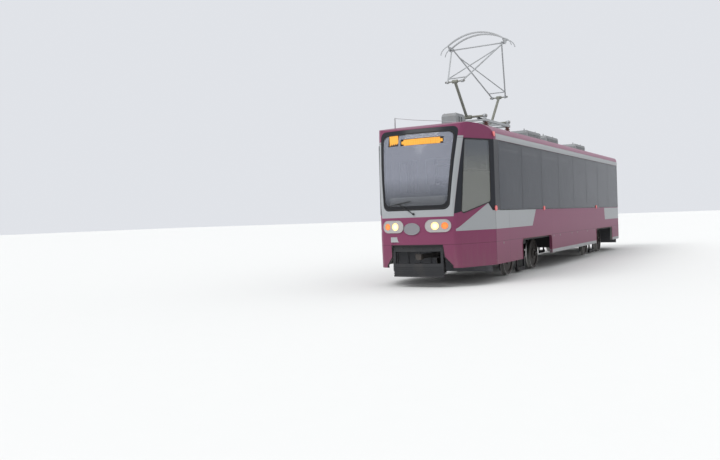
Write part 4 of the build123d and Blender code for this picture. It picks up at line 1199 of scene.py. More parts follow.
@dataclass
class Ends:
    """Seals, plates, lamp rims and display of both ends."""

    fitter: Fitter
    seal: float = 0.011
    side_seal: float = 0.009
    corner: float = 0.12
    side_corner: float = 0.06
    screen: tuple[Pair, ...] = ((-0.69, 1.53), (0.69, 1.53), (0.79, 3.03), (-0.79, 3.03))
    rear_screen: tuple[Pair, ...] = ((-0.74, 1.64), (0.74, 1.64), (0.76, 2.78), (-0.76, 2.78))
    cab_window: tuple[Pair, ...] = ((6.50, 2.86), (7.130, 2.86), (7.262, 1.412), (6.50, 1.64))
    quarter: tuple[Pair, ...] = ((6.26, 2.80), (7.12, 2.80), (7.16, 1.64), (6.26, 1.64))
    bezel: Point = (0.48, 0.245, 0.118)
    lamp_z: float = 1.2
    head_lamps: tuple[Pair, ...] = ((0.425, 0.080), (0.612, 0.070))
    tail_lamps: tuple[Pair, ...] = ((0.44, 0.07), (0.60, 0.07))
    head_lift: float = 0.011
    tail_lift: float = 0.0055
    bezel_rim: float = 0.006
    lamp_rim: float = 0.005
    oval_centre: Pair = (-0.05, 1.15)
    oval_half: Pair = (0.17, 0.11)
    plate_centre: Pair = (0.43, 0.945)
    plate_half: Pair = (0.11, 0.05)
    recess: tuple[Pair, ...] = ((0.545, 0.83), (0.56, 0.60), (0.70, 0.43), (0.70, 0.382))
    # The plates behind the bumpers reach low to hide the floor, standing in for the shade of the recess.
    bulkhead_x: float = 6.300
    bulkhead_y: Pair = (0.10, 1.12)
    bulkhead_z: Pair = (0.235, 0.775)
    rib_start: float = 0.22
    rib_step: float = 0.26
    bumper_bow: Point = (7.425, 0.045, 0.535)
    bolts_y: tuple[float, ...] = (-0.49, -0.32, -0.11, 0.11, 0.32, 0.49)
    bolts_z: float = 0.764
    post_bolts_y: Pair = (-0.51, 0.51)
    post_bolts_z: Pair = (0.52, 0.66)
    bolt: float = 0.013
    display: tuple[tuple[float, float, float, float], ...] = (
        (-0.625, -0.415, 2.805, 3.03), (-0.33, 0.545, 2.80, 2.92))
    cell: float = 0.05
    cell_depth: Pair = (0.044, 0.030)
    cell_gap: float = 0.002
    end_cell: float = 0.26

    def build(self) -> None:
        """Make every fitting of the two ends."""
        self._window_seals()
        self._lamp_rims()
        self._plates()
        self._display()
        self._recess_edges()
        self._shade_bulkheads()
        self._bumper_bolts()

    def _window_seals(self) -> None:
        """Rubber seals round the end windows."""
        for form, outline, name in ((FRONT, self.screen, "windscreen_seal"),
                                    (REAR, self.rear_screen, "rear_window_seal")):
            points = [form.on_face(y, z, 0.001) for y, z in rounded(outline, self.corner)]
            self.fitter.fit(Bench.tube(name, points, self.seal, True), Body.CAR, "rubber", "wiper_black")
        for form, outline, name in ((FRONT, self.cab_window, "cab_window_seal"),
                                    (REAR, self.quarter, "quarter_window_seal")):
            for side in Side:
                points = [form.on_side(x, z, side, 0.001) for x, z in rounded(outline, self.side_corner)]
                tube = Bench.tube(f"{name}_{side.name.lower()}", points, self.side_seal, True)
                self.fitter.fit(tube, Body.CAR, "rubber", "wiper_black")

    def _lamp_rims(self) -> None:
        """Raised rims round the lamps and their bezels."""
        centre, half, high = self.bezel
        low, top = self.lamp_z - high, self.lamp_z + high
        for form, lamps, lift, name in ((FRONT, self.head_lamps, self.head_lift, "head"),
                                        (REAR, self.tail_lamps, self.tail_lift, "tail")):
            rims = []
            for side in Side:
                y0 = side.value * centre
                corners = [(y0 - half, low), (y0 + half, low), (y0 + half, top), (y0 - half, top)]
                edge = [form.on_face(y, z, lift) for y, z in rounded(corners, high - 0.002, 10, 0.06)]
                rims.append(Bench.tube("bezel_edge", edge, self.bezel_rim, True))
                for y, radius in lamps:
                    round_lamp = ellipse((side.value * y, self.lamp_z), (radius, radius), 32)
                    circle = [form.on_face(across, up, lift) for across, up in round_lamp]
                    rims.append(Bench.tube("rim", circle, self.lamp_rim, True))
            self.fitter.fit(Bench.join(f"{name}_lamp_rims", rims), Body.CAR, "bezel", "lamp_bezel")

    def _oval(self, form: EndForm, name: str, centre: Pair, half: Pair) -> None:
        """Bare oval plate with a rolled rim.

        Args:
            form: The end that it is on.
            name: The piece's name.
            centre: Its centre across and up.
            half: Its half width and half height.
        """
        y0, z0 = centre
        x = form.face_x(y0, z0)
        Bench.clear()
        bpy.ops.mesh.primitive_cylinder_add(vertices=48, radius=1.0, depth=1.0,
                                            location=(form.way * (x - 0.001), y0, z0),
                                            rotation=(0.0, math.radians(90), 0.0),
                                            scale=(half[1], half[0], 0.016))
        plate = Bench.settle(name)
        outward = (form.way, 0, 0)
        Bench.faces(plate, outward, lambda: bpy.ops.mesh.inset(thickness=0.012, depth=0.0))
        Bench.faces(plate, outward, lambda: bpy.ops.mesh.bevel(offset=0.003, segments=2, affect="EDGES"))
        points = [(form.way * (x + 0.006), y, z) for y, z in ellipse(centre, half, 48)]
        rim = Bench.tube("rim", points, 0.007, True)
        self.fitter.fit(Bench.join(name, [plate, rim]), Body.CAR, "plate", "lamp_bezel")

    def _plates(self) -> None:
        """Bare oval plate and bare number plate in front, a bare plate behind."""
        self._oval(FRONT, "front_oval_plate", self.oval_centre, self.oval_half)
        half, tall = self.plate_half
        for form, name in ((FRONT, "front_small_plate"), (REAR, "rear_small_plate")):
            y, z = -form.way * self.plate_centre[0], self.plate_centre[1]
            x = form.face_x(y, z)
            low, high = sorted((form.way * (x - 0.012), form.way * (x + 0.010)))
            plate = Bench.block(name, (low, y - half, z - tall), (high, y + half, z + tall), 0.004)
            Bench.faces(plate, (form.way, 0, 0), lambda: bpy.ops.mesh.inset(thickness=0.009, depth=-0.003))
            self.fitter.fit(plate, Body.CAR, "pale_plate", "lamp_bezel")

    def _display(self) -> None:
        """Plain amber blocks of the destination display behind the windscreen."""
        blocks = []
        back, front = self.cell_depth
        for y0, y1, z0, z1 in self.display:
            columns = max(2, round((y1 - y0) / self.cell))
            for k in range(columns):
                a, b = y0 + (y1 - y0) * k / columns, y0 + (y1 - y0) * (k + 1) / columns
                middle = (a + b) / 2
                x = FRONT.face_x(middle, (z0 + z1) / 2)
                short = self.end_cell * (z1 - z0) if columns > 6 and k in (0, columns - 1) else 0.0
                low = (x - back, a + self.cell_gap, z0 + short)
                high = (x - front, b - self.cell_gap, z1 - short)
                blocks.append(Bench.block("cell", low, high, 0.003, 1))
        self.fitter.fit(Bench.join("destination_blocks", blocks), Body.CAR, "amber_block", "amber_lens")

    def _recess_edges(self) -> None:
        """Rubber edging round the bumper recess."""
        line = [*self.recess[::-1], *((-y, z) for y, z in self.recess)]
        for form, name in ((FRONT, "front_recess_edge"), (REAR, "rear_recess_edge")):
            points: list[Point] = []
            for (y0, z0), (y1, z1) in zip(line, line[1:]):
                steps = max(1, math.ceil(math.dist((y0, z0), (y1, z1)) / 0.1))
                points += [form.on_face(y0 + (y1 - y0) * k / steps, z0 + (z1 - z0) * k / steps, 0.0)
                           for k in range(steps)]
            points.append(form.on_face(*line[-1], 0.0))
            self.fitter.fit(Bench.tube(name, points, 0.010), Body.CAR, "rubber", "wiper_black")

    def _shade_bulkheads(self) -> None:
        """Ribbed plates that close the body behind each bumper, either side of the draft gear, and hide the
        floor beyond: a sheet put in for the shade of the recess.
        """
        low, top = self.bulkhead_z
        for way, name in ((1, "front_shade_bulkhead"), (-1, "rear_shade_bulkhead")):
            parts = []
            for side in Side:
                y0, y1 = sorted(side.value * y for y in self.bulkhead_y)
                x0, x1 = sorted((way * self.bulkhead_x, way * (self.bulkhead_x + 0.012)))
                parts.append(Bench.block("plate", (x0, y0, low), (x1, y1, top), 0.003, 1))
                x0, x1 = sorted((way * (self.bulkhead_x + 0.010), way * (self.bulkhead_x + 0.035)))
                for k in range(4):
                    y = side.value * (self.rib_start + self.rib_step * k)
                    start, end = (x0, y - 0.006, low + 0.015), (x1, y + 0.006, top - 0.005)
                    parts.append(Bench.block("rib", start, end, 0.002, 1))
            self.fitter.fit(Bench.join(name, parts), Body.CAR, "bulkhead", "frame_grey")

    def _bumper_bolts(self) -> None:
        """Bolt heads on the bumpers' upper panels and posts."""
        for way, name in ((1, "front_bumper_bolts"), (-1, "rear_bumper_bolts")):
            places = []
            base, bow, half = self.bumper_bow
            for y in self.bolts_y:
                x = base + bow * (1 - (y / half) ** 2)
                places.append(((way * (x - 0.006), y, self.bolts_z), (way * (x + 0.008), y, self.bolts_z)))
            for y in self.post_bolts_y:
                places += [((way * (base - 0.005), y, z), (way * (base + 0.008), y, z))
                           for z in self.post_bolts_z]
            self.fitter.fit(Bench.hexes(name, places, self.bolt), Body.CAR, "frame", "frame_grey")


@dataclass
class Sides:
    """Rubbers, trims, latches and door fittings of the two flat sides."""

    fitter: Fitter
    wall: float = 1.25
    pane_z: Pair = (1.47, 2.87)
    bands: tuple[tuple[Side, float, float, int], ...] = (
        (Side.LEFT, 6.11, -6.06, 8), (Side.RIGHT, 5.07, 2.23, 2), (Side.RIGHT, 0.61, -0.91, 1),
        (Side.RIGHT, -2.53, -5.03, 2))
    wells: tuple[float, ...] = (3.525, -3.825)
    well: tuple[float, float, float, float] = (1.18, 0.385, 0.83, 0.11)
    gutter: tuple[Point, ...] = ((6.34, 1.249, 2.93), (6.30, 1.246, 3.00), (0.0, 1.246, 3.003),
                                 (-6.03, 1.246, 3.00), (-6.07, 1.249, 2.93))
    doors: tuple[tuple[float, int, float], ...] = (
        (5.60, 1, 0.85), (1.42, 2, 0.69), (-1.72, 2, 0.69), (-5.56, 1, 0.85))
    door_z: Pair = (0.432, 2.83)
    door_pane_z: Pair = (0.962, 2.658)
    markers: tuple[Pair, ...] = ((6.370, 2.985), (6.370, 1.506), (2.960, 1.485), (-2.700, 1.485))
    marker_y: float = 1.2615
    marker_rim: Pair = (0.0445, 0.0055)
    skin: float = 1.246
    latch_half: float = 0.02
    latch_z: Pair = (0.775, 0.815)
    leaf_gap: float = 0.004
    pane_edge: float = 0.062
    kick_plate_z: Pair = (0.47, 0.80)
    grab_bar: Point = (0.22, 1.25, 1.28)
    grab_bar_y: Pair = (-1.212, -1.16)
    button: Point = (0.13, 1.30, 0.034)
    latches: tuple[float, ...] = (5.95, 2.15, 1.55, 0.35, -0.25, -1.45, -2.35, -5.45)

    def build(self) -> None:
        """Make every fitting of the sides."""
        self._pane_rubbers()
        self._gutters()
        self._well_lips()
        self._latches()
        self._marker_rims()
        self._door_rubbers()
        self._door_trims()

    def _pane_rubbers(self) -> None:
        """Upright rubbers between the panes and lips above and below each band."""
        low, high = self.pane_z
        for side in Side:
            s = side.value
            bars = []
            for band_side, start, end, count in self.bands:
                if band_side is not side:
                    continue
                y0, y1 = sorted((s * (self.wall - 0.0065), s * (self.wall + 0.0012)))
                for k in range(count + 1):
                    x = start - (start - end) * k / count
                    bars.append(Bench.block("joint", (x - 0.0052, y0, low), (x + 0.0052, y1, high), 0.0018))
                y0, y1 = sorted((s * (self.wall - 0.004), s * (self.wall + 0.003)))
                for z in (low - 0.005, high + 0.003):
                    bars.append(Bench.block("lip", (end, y0, z - 0.005), (start, y1, z + 0.005), 0.002))
            piece = Bench.join(f"pane_rubbers_{side.name.lower()}", bars)
            self.fitter.fit(piece, Body.CAR, "rubber", "wiper_black")

    def _gutters(self) -> None:
        """Rain gutter along each side of the roof, turned down at its ends."""
        for side in Side:
            line = [(x, side.value * y, z) for x, y, z in self.gutter]
            tube = Bench.tube(f"rain_gutter_{side.name.lower()}", line, 0.008)
            self.fitter.fit(tube, Body.CAR, "gutter", "red_paint")

    def _well_lips(self) -> None:
        """Rolled lips round the wheel wells."""
        half, low, top, corner = self.well
        for side in Side:
            parts = []
            for x in self.wells:
                corners = [(x - half, low), (x - half, top), (x + half, top), (x + half, low)]
                arch = [point for point in rounded(corners, corner, 6, 0.3) if point[1] > 0.5]
                line = [(x - half, low), *sorted(arch, key=lambda point: point[0]), (x + half, low)]
                parts.append(Bench.tube("lip", [(px, side.value * 1.249, pz) for px, pz in line], 0.009))
            self.fitter.fit(Bench.join(f"well_lips_{side.name.lower()}", parts), Body.CAR, "lip", "red_paint")

    def _latches(self) -> None:
        """Square key latches of the skirt hatches."""
        bottom, top = self.latch_z
        for side in Side:
            parts = []
            for x in self.latches:
                if side is Side.RIGHT and any(abs(x - door) < 0.8 for door, _, _ in self.doors):
                    continue
                y0, y1 = sorted((side.value * self.skin, side.value * (self.skin + 0.0085)))
                low, high = (x - self.latch_half, y0, bottom), (x + self.latch_half, y1, top)
                block = Bench.block("latch", low, high, 0.003)
                Bench.faces(block, (0, side.value, 0),
                            lambda: bpy.ops.mesh.inset(thickness=0.010, depth=-0.003))
                parts.append(block)
            piece = Bench.join(f"skirt_latches_{side.name.lower()}", parts)
            self.fitter.fit(piece, Body.CAR, "steel", "frame_grey")

    def _marker_rims(self) -> None:
        """Pale rims of the round side markers."""
        for side in Side:
            rims = [Bench.ring("rim", (x, side.value * self.marker_y, z), (0, 1, 0), *self.marker_rim)
                    for x, z in self.markers]
            piece = Bench.join(f"marker_rims_{side.name.lower()}", rims)
            self.fitter.fit(piece, Body.CAR, "bezel", "lamp_bezel")

    def _leaves(self) -> Iterable[Pair]:
        """Rear and front x of each door leaf.

        Returns:
            The pairs, one leaf after another.
        """
        for x, count, width in self.doors:
            for k in range(count):
                start = x - count * width / 2 + k * width + self.leaf_gap
                yield start, start + width - 2 * self.leaf_gap

    def _door_rubbers(self) -> None:
        """Rubbers round the door openings, between the leaves and round their panes."""
        frames, panes = [], []
        low, top = self.door_z
        for x, count, width in self.doors:
            half = count * width / 2 + 0.010
            corners = [(x - half, low), (x + half, low), (x + half, top), (x - half, top)]
            line = [(px, -1.2495, pz) for px, pz in rounded(corners, 0.02, 4, 0.5)]
            frames.append(Bench.tube("opening", line, 0.007, True))
            if count == 2:
                start, end = (x - 0.010, -1.2525, 0.44), (x + 0.010, -1.243, 2.815)
                frames.append(Bench.block("nose", start, end, 0.004))
        low, top = self.door_pane_z
        for start, end in self._leaves():
            x0, x1 = start + self.pane_edge, end - self.pane_edge
            line = rounded([(x0, low), (x1, low), (x1, top), (x0, top)], 0.05, 5, 0.4)
            panes.append(Bench.tube("pane", [(px, -1.2475, pz) for px, pz in line], 0.006, True))
        self.fitter.fit(Bench.join("door_rubbers", frames), Body.CAR, "rubber", "wiper_black")
        self.fitter.fit(Bench.join("door_pane_rubbers", panes), Body.CAR, "rubber", "wiper_black")

    def _door_trims(self) -> None:
        """Kick plates and inner grab bars on the leaves, and a push button beside each doorway."""
        plates, bars, buttons = [], [], []
        bottom, top = self.kick_plate_z
        half, rise, bend = self.grab_bar
        leaf, out = self.grab_bar_y
        for start, end in self._leaves():
            low, high = (start + 0.06, -1.2495, bottom), (end - 0.06, -self.skin, top)
            plate = Bench.block("kick_plate", low, high, 0.001, 1)
            Bench.faces(plate, (0, -1, 0), lambda: bpy.ops.mesh.inset(thickness=0.012, depth=-0.0008))
            plates.append(plate)
            x = (start + end) / 2
            bars.append(Bench.tube("bar", [(x - half, leaf, rise), (x - half, out, bend),
                                           (x + half, out, bend), (x + half, leaf, rise)], 0.012))
        aside, z, radius = self.button
        for x, count, width in self.doors:
            place = x - count * width / 2 - aside
            near, far = (place, -self.skin, z), (place, -self.skin - 0.010, z)
            button = Bench.round("button", near, far, radius, 28, 0.003)
            Bench.faces(button, (0, -1, 0), lambda: bpy.ops.mesh.inset(thickness=0.009, depth=-0.003))
            buttons.append(button)
        self.fitter.fit(Bench.join("door_kick_plates", plates), Body.CAR, "steel", "handrail_steel")
        self.fitter.fit(Bench.join("door_grab_bars", bars), Body.CAR, "rail", "handrail_steel")
        self.fitter.fit(Bench.join("door_buttons", buttons), Body.CAR, "pale_plastic", "lamp_bezel")


@dataclass
class Roof:
    """Seams, box lids, conduits and the front post on the roof."""

    fitter: Fitter
    crown: float = 3.262
    shoulder: Pair = (1.01, 3.185)
    boxes: tuple[Pair, ...] = ((0.60, 1.90), (-1.15, 0.15), (-4.50, -3.20))
    box_half: float = 0.56
    box_top: float = 3.50
    gear: tuple[float, float, float, float] = (5.13, 5.65, 0.165, 3.59)
    lid_edge: float = 0.07
    bolt: float = 0.010
    bolt_step: float = 0.3
    eye: Pair = (0.026, 0.006)
    seam: float = 0.006
    seams: tuple[float, ...] = (5.05, 2.55, -1.85, -2.75, -5.0)
    conduits: tuple[Point, ...] = ((-0.20, 1.92, 2.86), (0.20, 1.92, 2.86), (0.0, 4.72, 5.14),
                                   (-0.66, -3.18, 1.2), (-0.74, -3.18, 1.2))
    conduit: float = 0.017
    saddle_step: float = 0.7
    post: Point = (6.85, -0.69, 3.15)
    post_top: float = 3.44
    rod: tuple[Point, ...] = ((6.85, -0.25, 3.355), (6.85, 0.30, 3.285), (6.85, 0.64, 3.225))
    vents: tuple[float, ...] = (-2.35, -5.45)
    vent: Point = (0.17, 0.24, 0.075)

    def height(self, y: float) -> float:
        """Height of the roof skin.

        Args:
            y: Place across the car.

        Returns:
            The height.
        """
        half, low = self.shoulder
        sag = self.crown - low
        radius = (half**2 + sag**2) / (2 * sag)
        return self.crown - radius + math.sqrt(radius**2 - y**2)

    def build(self) -> None:
        """Make every fitting of the roof."""
        self._seams()
        self._lids()
        self._conduits()
        self._front_post()
        self._vents()

    def _seams(self) -> None:
        """Welded seams across the roof sheets."""
        lines = []
        for x in self.seams:
            ys = [1.0 - 2.0 * k / 20 for k in range(21)]
            lines.append(Bench.tube("seam", [(x, y, self.height(y) + 0.001) for y in ys], self.seam))
        self.fitter.fit(Bench.join("roof_seams", lines), Body.CAR, "roof_box", "roof_paint")

    def _lids(self) -> None:
        """Lids with bolts and lifting eyes on the roof boxes."""
        lids, bolts, eyes = [], [], []
        edge = self.lid_edge
        for x0, x1, half, top in [*((a, b, self.box_half, self.box_top) for a, b in self.boxes), self.gear]:
            low, high = (x0 + edge, -half + 0.015, top - 0.002), (x1 - edge, half - 0.015, top + 0.008)
            lid = Bench.block("lid", low, high, 0.003)
            Bench.faces(lid, (0, 0, 1), lambda: bpy.ops.mesh.inset(thickness=0.035, depth=0.004))
            lids.append(lid)
            count = max(2, round((x1 - x0) / self.bolt_step))
            for k in range(count):
                x = x0 + edge + 0.02 + (x1 - x0 - 2 * edge - 0.04) * k / (count - 1)
                bolts += [((x, s * (half - 0.033), top + 0.006), (x, s * (half - 0.033), top + 0.016))
                          for s in (-1, 1)]
            for x in (x0 + edge + 0.09, x1 - edge - 0.09):
                if half > 0.3:
                    centres = [(x, s * (half - 0.11), top + 0.034) for s in (-1, 1)]
                    eyes += [Bench.ring("eye", centre, (0, 1, 0), *self.eye, 24) for centre in centres]
        self.fitter.fit(Bench.join("roof_box_lids", lids), Body.CAR, "roof_box", "roof_paint")
        self.fitter.fit(Bench.hexes("roof_box_bolts", bolts, self.bolt), Body.CAR, "steel", "frame_grey")
        self.fitter.fit(Bench.join("roof_box_eyes", eyes), Body.CAR, "steel", "frame_grey")

    def _conduits(self) -> None:
        """Cable conduits on saddles from the pantograph to the boxes."""
        pipes, saddles = [], []
        for y, x0, x1 in self.conduits:
            z = self.height(y) + 0.024
            line = [(x0, y, z), ((x0 + x1) / 2, y, z), (x1, y, z)]
            pipes.append(Bench.tube("conduit", line, self.conduit, False, 3))
            for k in range(max(1, round((x1 - x0) / self.saddle_step))):
                x = x0 + 0.2 + self.saddle_step * k
                if x < x1 - 0.05:
                    low, high = (x - 0.014, y - 0.034, z - 0.028), (x + 0.014, y + 0.034, z + 0.020)
                    saddles.append(Bench.block("saddle", low, high, 0.005))
        self.fitter.fit(Bench.join("roof_conduits", pipes), Body.CAR, "cable", "wiper_black")
        self.fitter.fit(Bench.join("roof_saddles", saddles), Body.CAR, "roof_box", "roof_paint")

    def _front_post(self) -> None:
        """Short post with a thin rod that falls across the front of the roof."""
        x, y, low = self.post
        high = self.post_top
        post = Bench.round("post", (x, y, low), (x, y, high), 0.013, 16, 0.003)
        foot = Bench.block("foot", (x - 0.05, y - 0.05, low - 0.01), (x + 0.05, y + 0.05, low + 0.06), 0.008)
        rod = Bench.tube("rod", [(x, y, high - 0.01), *self.rod], 0.006)
        end = Bench.block("end", (x - 0.02, 0.62, 3.14), (x + 0.02, 0.66, 3.235), 0.005)
        piece = Bench.join("front_roof_post", [post, foot, rod, end])
        self.fitter.fit(piece, Body.CAR, "mast", "pantograph_paint")

    def _vents(self) -> None:
        """Low ventilator hoods between the roof boxes."""
        hoods = []
        top = self.height(0.0)
        half, wide, high = self.vent
        for x in self.vents:
            hood = Bench.block("hood", (x - half, -wide, top - 0.03), (x + half, wide, top + high), 0.03, 3)
            Bench.faces(hood, (0, 0, 1), lambda: bpy.ops.mesh.inset(thickness=0.03, depth=0.006))
            hoods.append(hood)
        self.fitter.fit(Bench.join("roof_vents", hoods), Body.CAR, "roof_box", "roof_paint")


@dataclass
class RunningGear:
    """Hub bolts and caps on the wheelsets, and dampers and sand pipes on the bogies."""

    fitter: Fitter
    bogies: tuple[tuple[Body, float], ...] = ((Body.FRONT_BOGIE, 3.525), (Body.REAR_BOGIE, -3.825))
    axle_z: float = AXLE_Z
    half_base: float = 0.97
    bolt_circles: tuple[tuple[int, float, float, float, float], ...] = (
        (8, math.tau / 16, 0.098, 0.846, 0.866), (3, 0.4, 0.040, 0.901, 0.909))
    bolt: float = 0.011
    cap: Point = (0.890, 0.902, 0.062)
    damper_y: float = 0.655
    damper: tuple[tuple[str, float, float, float, int, float], ...] = (
        ("rod", 0.34, 0.54, 0.014, 20, 0.0), ("body", 0.40, 0.51, 0.030, 24, 0.004),
        ("boot", 0.345, 0.40, 0.036, 24, 0.005))
    pipe: float = 0.016
    clamp_y: Pair = (0.575, 0.625)
    sand_pipe: tuple[Point, ...] = ((1.12, 0.60, 0.545), (1.22, 0.68, 0.545), (1.36, 0.775, 0.52),
                                    (1.415, 0.79, 0.44), (1.415, 0.79, 0.28), (1.385, 0.79, 0.14))

    def build(self) -> None:
        """Make every fitting of the running gear."""
        number = 0
        for body, x in self.bogies:
            self._dampers(body, x)
            self._sand_pipes(body, x)
            for way in (1, -1):
                number += 1
                self._hubs(number, x + way * self.half_base)

    def _hubs(self, number: int, x: float) -> None:
        """Bolt circles and end cap on both hubs of one wheelset.

        Args:
            number: The wheelset's number, from the front.
            x: Place of its axle.
        """
        bolts, caps = [], []
        z = self.axle_z
        hub, face, width = self.cap
        for side in Side:
            s = side.value
            for count, turn, radius, start, end in self.bolt_circles:
                for k in range(count):
                    a = math.tau * k / count + turn
                    px, pz = x + radius * math.cos(a), z + radius * math.sin(a)
                    bolts.append(((px, s * start, pz), (px, s * end, pz)))
            cap = Bench.round("cap", (x, s * hub, z), (x, s * face, z), width, 32, 0.004)
            Bench.faces(cap, (0, s, 0), lambda: bpy.ops.mesh.inset(thickness=0.016, depth=0.0))
            caps.append(cap)
        wheelset = f"wheelset_{number}"
        heads = Bench.hexes(f"hub_bolts_{number}", bolts, self.bolt)
        self.fitter.fit(heads, wheelset, "steel", "wheel_steel")
        self.fitter.fit(Bench.join(f"hub_caps_{number}", caps), wheelset, "motor", "wheel_steel")

    def _dampers(self, body: Body, x: float) -> None:
        """Upright damper between the springs on each side of the bolster.

        Args:
            body: The bogie.
            x: Place of its centre.
        """
        parts = []
        for side in Side:
            y = side.value * self.damper_y
            for name, low, high, radius, sides, bevel in self.damper:
                parts.append(Bench.round(name, (x, y, low), (x, y, high), radius, sides, bevel))
        self.fitter.fit(Bench.join(f"{body.value}_dampers", parts), body, "steel", "bogie_grey")

    def _sand_pipes(self, body: Body, x: float) -> None:
        """Sand pipe with a hose end ahead of each wheel, in a clamp on the side beam.

        Args:
            body: The bogie.
            x: Place of its centre.
        """
        pipes, clamps = [], []
        for way in (1, -1):
            for side in Side:
                s = side.value
                line = [(x + way * ahead, s * out, up) for ahead, out, up in self.sand_pipe]
                pipes.append(Bench.tube("pipe", line, self.pipe, False, 3))
                y0, y1 = sorted(s * y for y in self.clamp_y)
                middle = line[0][0]
                low, high = (middle - 0.03, y0, 0.515), (middle + 0.03, y1, 0.575)
                clamps.append(Bench.block("clamp", low, high, 0.006))
        self.fitter.fit(Bench.join(f"{body.value}_sand_pipes", pipes), body, "cable", "bogie_grey")
        self.fitter.fit(Bench.join(f"{body.value}_pipe_clamps", clamps), body, "bogie", "bogie_grey")


@dataclass
class Pantograph:
    """Wearing strips, springs, caps and nuts of the pantograph."""

    fitter: Fitter
    x: float = 3.77
    base_half: float = 0.805
    shaft_z: float = 3.61
    elbow: Pair = (1.44774, 4.33649)
    head_z: float = 5.36691
    strip_half: float = 0.692
    arch: float = 0.225
    strip_x: float = 0.130
    strip: float = 0.0055
    strip_reach: float = 0.60
    strip_width: float = 3.4
    spring: tuple[float, float, float, float] = (0.22, 3.585, 0.315, 0.66)
    coil: tuple[float, float, int, int] = (0.026, 0.0055, 17, 12)
    insulator: Pair = (0.745, 0.43)
    insulator_ends: tuple[tuple[str, float, float, float], ...] = (
        ("cap", 3.470, 3.492, 0.046), ("foot", 3.235, 3.268, 0.070))
    nut: Point = (0.213, 0.232, 0.022)
    collar: float = 0.034
    collars: tuple[Pair, ...] = ((0.375, 0.395), (0.465, 0.482))

    def build(self) -> None:
        """Make every fitting of the pantograph."""
        self._carbons()
        self._springs()
        self._caps()
        self._nuts()

    def _carbons(self) -> None:
        """Carbon wearing strips on the two arches."""
        low = self.head_z + 0.095
        radius = (self.strip_half**2 + self.arch**2) / (2 * self.arch)
        middle = low + self.arch - radius
        strips = []
        for way in (-1, 1):
            x = self.x + way * self.strip_x
            ys = [-self.strip_reach + 2 * self.strip_reach * k / 36 for k in range(37)]
            line = [(x, y, middle + math.sqrt(radius**2 - y**2) - 0.0054) for y in ys]
            tube = Bench.tube("strip", line, self.strip, False, 3)
            strips.append(Bench.resized(tube, (self.strip_width, 1.0, 1.0), (x, 0.0, middle)))
        self.fitter.fit(Bench.join("pantograph_carbons", strips), Body.HEAD, "carbon", "wiper_black")

    def _springs(self) -> None:
        """Raising springs along the base frame, with their rods."""
        coils, rods = [], []
        out, z, near, far = self.spring
        radius, wire, turns, steps = self.coil
        count = turns * steps
        for way in (-1, 1):
            for side in Side:
                y = side.value * out
                x0, x1 = self.x + way * near, self.x + way * far
                line = []
                for k in range(count + 1):
                    a = math.tau * k / steps
                    along = x0 + (x1 - x0) * k / count
                    line.append((along, y + radius * math.cos(a), z + radius * math.sin(a)))
                coils.append(Bench.tube("coil", line, wire, False, 1))
                rods.append(Bench.round("rod", (x0 - way * 0.02, y, z), (x1 + way * 0.10, y, z), 0.008, 12))
                low, high = sorted((x0, x0 - way * 0.03))
                rods.append(Bench.block("post", (low, y - 0.03, 3.53), (high, y + 0.03, 3.615), 0.005))
        self.fitter.fit(Bench.join("pantograph_springs", coils), Body.CAR, "motor", "pantograph_paint")
        self.fitter.fit(Bench.join("pantograph_spring_rods", rods), Body.CAR, "mast", "pantograph_paint")

    def _caps(self) -> None:
        """Steel caps and feet of the insulators."""
        parts = []
        for way in (-1, 1):
            for side in Side:
                x, y = self.x + way * self.insulator[0], side.value * self.insulator[1]
                for name, low, high, radius in self.insulator_ends:
                    parts.append(Bench.round(name, (x, y, low), (x, y, high), radius, 28, 0.004))
        self.fitter.fit(Bench.join("insulator_caps", parts), Body.CAR, "mast", "pantograph_paint")

    def _nuts(self) -> None:
        """Nuts on the elbow axles and collars on the base shafts."""
        dx, z = self.elbow
        inner, outer, radius = self.nut
        for way, arm, name in ((1, Body.FRONT_ARM, "front"), (-1, Body.REAR_ARM, "rear")):
            x = self.x + way * dx
            places = [((x, s * inner, z), (x, s * outer, z)) for s in (-1, 1)]
            parts = [Bench.hexes("nuts", places, radius)]
            base = self.x + way * self.base_half
            for side in Side:
                for start, end in self.collars:
                    near, far = [(base, side.value * out, self.shaft_z) for out in (start, end)]
                    parts.append(Bench.round("collar", near, far, self.collar, 24, 0.003))
            self.fitter.fit(Bench.join(f"pantograph_{name}_nuts", parts), arm, "steel", "pantograph_paint")


